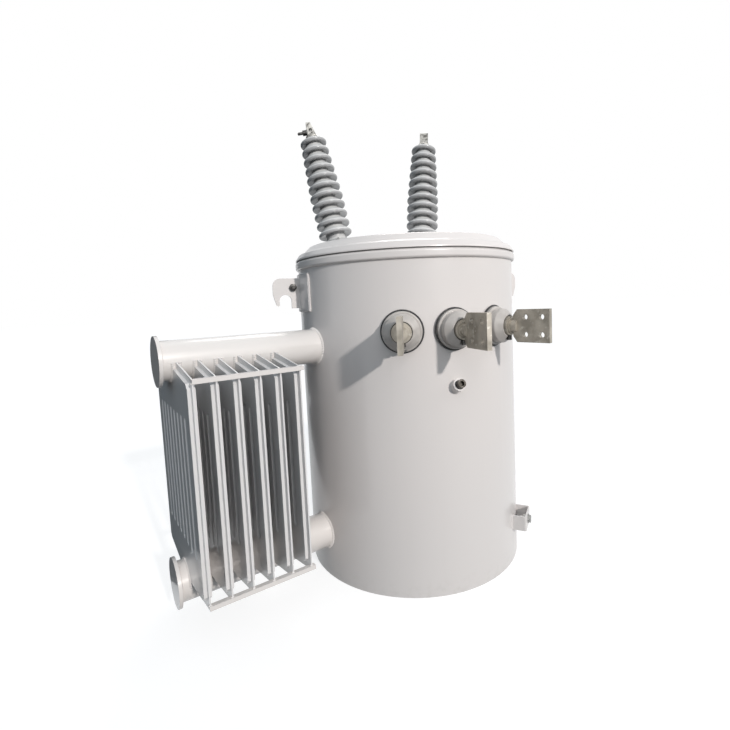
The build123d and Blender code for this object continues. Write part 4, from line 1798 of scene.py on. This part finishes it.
@dataclass(frozen=True)
class Camera:
    """The photograph's camera, with its angles in degrees and its lens in pixels."""

    eye: Triple = (-0.5430, -1.3578, 0.7787)
    yaw: float = 18.574
    pitch: float = 4.946
    roll: float = -2.578
    focal_pixels: float = 453.56
    centre: Pair = (381.08, 341.77)
    pixels: float = 730.0
    sensor_mm: float = 36.0

    def place(self) -> None:
        """Place the camera where the photograph was taken."""
        yaw, pitch, roll = radians(self.yaw), radians(self.pitch), radians(self.roll)
        level = Vector((sin(yaw), cos(yaw), 0.0))
        right = Vector((cos(yaw), -sin(yaw), 0.0))
        forward = cos(pitch) * level - sin(pitch) * UP
        top = sin(pitch) * level + cos(pitch) * UP
        across = cos(roll) * right + sin(roll) * top
        upright = -sin(roll) * right + cos(roll) * top
        lens = bpy.data.cameras.new("camera")
        lens.sensor_fit = "HORIZONTAL"
        lens.sensor_width = self.sensor_mm
        lens.lens = self.focal_pixels / self.pixels * self.sensor_mm
        lens.shift_x = (self.pixels / 2 - self.centre[0]) / self.pixels
        lens.shift_y = (self.centre[1] - self.pixels / 2) / self.pixels
        camera = bpy.data.objects.new("camera", lens)
        view = Matrix((across, upright, -forward)).transposed().to_4x4()
        view.translation = Vector(self.eye)
        camera.matrix_world = view
        bpy.context.scene.collection.objects.link(camera)
        bpy.context.scene.camera = camera


@dataclass
class Studio:
    """Camera, lamps, sky, floor and the dark card and mat that the radiator's side reflects."""

    camera: Camera = Camera()
    lamps: tuple[Lamp | NearLamp, ...] = (
        Lamp("key", 15.0, 22.5, 2.45, 2.5),
        Lamp("fill", -20.0, 35.0, 0.15, 60.0, (0.84, 0.92, 1.0)),
        Lamp("back", 155.0, 52.0, 0.7, 25.0),
        NearLamp("glow", (1.3, -0.9, 1.5), (0.25, -0.2, 0.85), 5.0, 0.8),
        NearLamp("lift", (-0.3, -1.6, 1.75), (-0.05, -0.3, 0.95), 4.5, 0.9),
    )
    sky_colour: Colour = (0.72, 0.87, 1.0)
    sky_strength: float = 0.44
    floor_shade: float = 0.32
    floor_glow: float = 0.76
    floor_bounce: float = 0.12
    floor_size: float = 40.0
    card_middle: Triple = (-1.9, 1.6, 1.0)
    card_half: Pair = (1.4, 1.4)
    mat_middle: Triple = (-1.75, 0.75, 0.001)
    mat_half: Pair = (0.95, 1.3)
    card_shade: float = 0.03

    def seen_directly(self, tree: bpy.types.NodeTree) -> Output:
        """Tell camera, glossy and transmission rays from all others.

        Args:
            tree: Nodes that take the test.

        Returns:
            An output that is 1 for those rays and 0 for others.
        """
        path = tree.nodes.new("ShaderNodeLightPath")
        seen = path.outputs["Is Camera Ray"]
        for kind in ("Is Glossy Ray", "Is Transmission Ray"):
            either = tree.nodes.new("ShaderNodeMath")
            either.operation = "MAXIMUM"
            tree.links.new(seen, either.inputs[0])
            tree.links.new(path.outputs[kind], either.inputs[1])
            seen = either.outputs[0]
        return seen

    def paint_sky(self) -> None:
        """Make a white background over a soft sky light."""
        world = bpy.data.worlds.new("sky")
        world.use_nodes = True
        bpy.context.scene.world = world
        tree = world.node_tree
        light = tree.nodes["Background"]
        light.inputs["Color"].default_value = (*self.sky_colour, 1.0)
        light.inputs["Strength"].default_value = self.sky_strength
        white = tree.nodes.new("ShaderNodeBackground")
        white.inputs["Color"].default_value = (1.0, 1.0, 1.0, 1.0)
        white.inputs["Strength"].default_value = 1.0
        mix = tree.nodes.new("ShaderNodeMixShader")
        tree.links.new(self.seen_directly(tree), mix.inputs["Fac"])
        tree.links.new(light.outputs[0], mix.inputs[1])
        tree.links.new(white.outputs[0], mix.inputs[2])
        tree.links.new(mix.outputs[0], tree.nodes["World Output"].inputs["Surface"])

    def matte(self, tree: bpy.types.NodeTree, shade: float) -> bpy.types.Node:
        """Add a matte grey shader.

        Args:
            tree: Nodes that take it.
            shade: Its grey.

        Returns:
            The shader's node.
        """
        shader = tree.nodes.new("ShaderNodeBsdfDiffuse")
        shader.inputs["Color"].default_value = (shade, shade, shade, 1.0)
        return shader

    def lay_floor(self) -> None:
        """Lay a pale floor that shows the object's shadow and throws little light back up."""
        material = bpy.data.materials.new("pale_floor")
        material.use_nodes = True
        tree = material.node_tree
        tree.nodes.remove(tree.nodes["Principled BSDF"])
        glow = tree.nodes.new("ShaderNodeEmission")
        glow.inputs["Strength"].default_value = self.floor_glow
        pale = tree.nodes.new("ShaderNodeAddShader")
        mix = tree.nodes.new("ShaderNodeMixShader")
        tree.links.new(self.matte(tree, self.floor_shade).outputs[0], pale.inputs[0])
        tree.links.new(glow.outputs[0], pale.inputs[1])
        tree.links.new(self.seen_directly(tree), mix.inputs["Fac"])
        tree.links.new(self.matte(tree, self.floor_bounce).outputs[0], mix.inputs[1])
        tree.links.new(pale.outputs[0], mix.inputs[2])
        tree.links.new(mix.outputs[0], tree.nodes["Material Output"].inputs["Surface"])
        self.sheet("floor", Matrix.Identity(4), (self.floor_size, self.floor_size), material)

    def stand_card(self) -> None:
        """Stand a dark card on a dark mat behind the radiator, where only reflections see them."""
        material = bpy.data.materials.new("dark_card")
        material.use_nodes = True
        tree = material.node_tree
        tree.nodes.remove(tree.nodes["Principled BSDF"])
        tree.links.new(
            self.matte(tree, self.card_shade).outputs[0], tree.nodes["Material Output"].inputs["Surface"]
        )
        middle = Vector(self.card_middle)
        facing = Vector((-middle.x, -middle.y, 0.0)).normalized()
        card = self.sheet("dark_card", seat_at(middle, facing), self.card_half, material)
        mat = self.sheet("dark_mat", Matrix.Translation(self.mat_middle), self.mat_half, material)
        for sheet in (card, mat):
            sheet.visible_camera = False
            sheet.visible_diffuse = False
            sheet.visible_shadow = False

    def sheet(self, name: str, seat: Matrix, half: Pair, material: bpy.types.Material) -> bpy.types.Object:
        """Add a flat sheet that isn't part of the object.

        Args:
            name: Name of the sheet.
            seat: Frame in whose XY plane it lies.
            half: Half its width and height.
            material: Its material.

        Returns:
            The new object.
        """
        mesh = bpy.data.meshes.new(name)
        wide, tall = half
        corners = [(-wide, -tall, 0.0), (wide, -tall, 0.0), (wide, tall, 0.0), (-wide, tall, 0.0)]
        mesh.from_pydata([seat @ Vector(corner) for corner in corners], [], [(0, 1, 2, 3)])
        mesh.materials.append(material)
        sheet = bpy.data.objects.new(name, mesh)
        bpy.context.scene.collection.objects.link(sheet)
        return sheet

    def build(self) -> None:
        """Set up everything that isn't part of the object."""
        self.camera.place()
        for lamp in self.lamps:
            lamp.hang()
        self.paint_sky()
        self.lay_floor()
        self.stand_card()
        bpy.context.scene.view_settings.view_transform = "Standard"


def main() -> None:
    """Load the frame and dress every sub-assembly."""
    logging.basicConfig(level=logging.INFO, format="%(message)s")
    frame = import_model()
    wardrobe = Wardrobe(frame["nodes"])
    tank = Tank()
    lid = Lid()
    assemblies: list[SubAssembly] = [
        tank,
        lid,
        HighVoltageBushing(Side.LEFT, -41.5, lid),
        HighVoltageBushing(Side.RIGHT, -12.5, lid),
        LowVoltageBushing("left", -23.5),
        LowVoltageBushing("centre", 0.0),
        LowVoltageBushing("right", 23.5),
        LiftingLug(Side.LEFT, tank),
        LiftingLug(Side.RIGHT, tank),
        LevelPort(tank),
        GroundPoint(tank),
        PoleBracket(Level.UPPER, tank),
        PoleBracket(Level.LOWER, tank),
        Radiator(tank),
    ]
    for assembly in assemblies:
        LOG.info("dressing %s", type(assembly).__name__)
        assembly.dress(wardrobe)
    Studio().build()


if __name__ == "__main__":
    main()
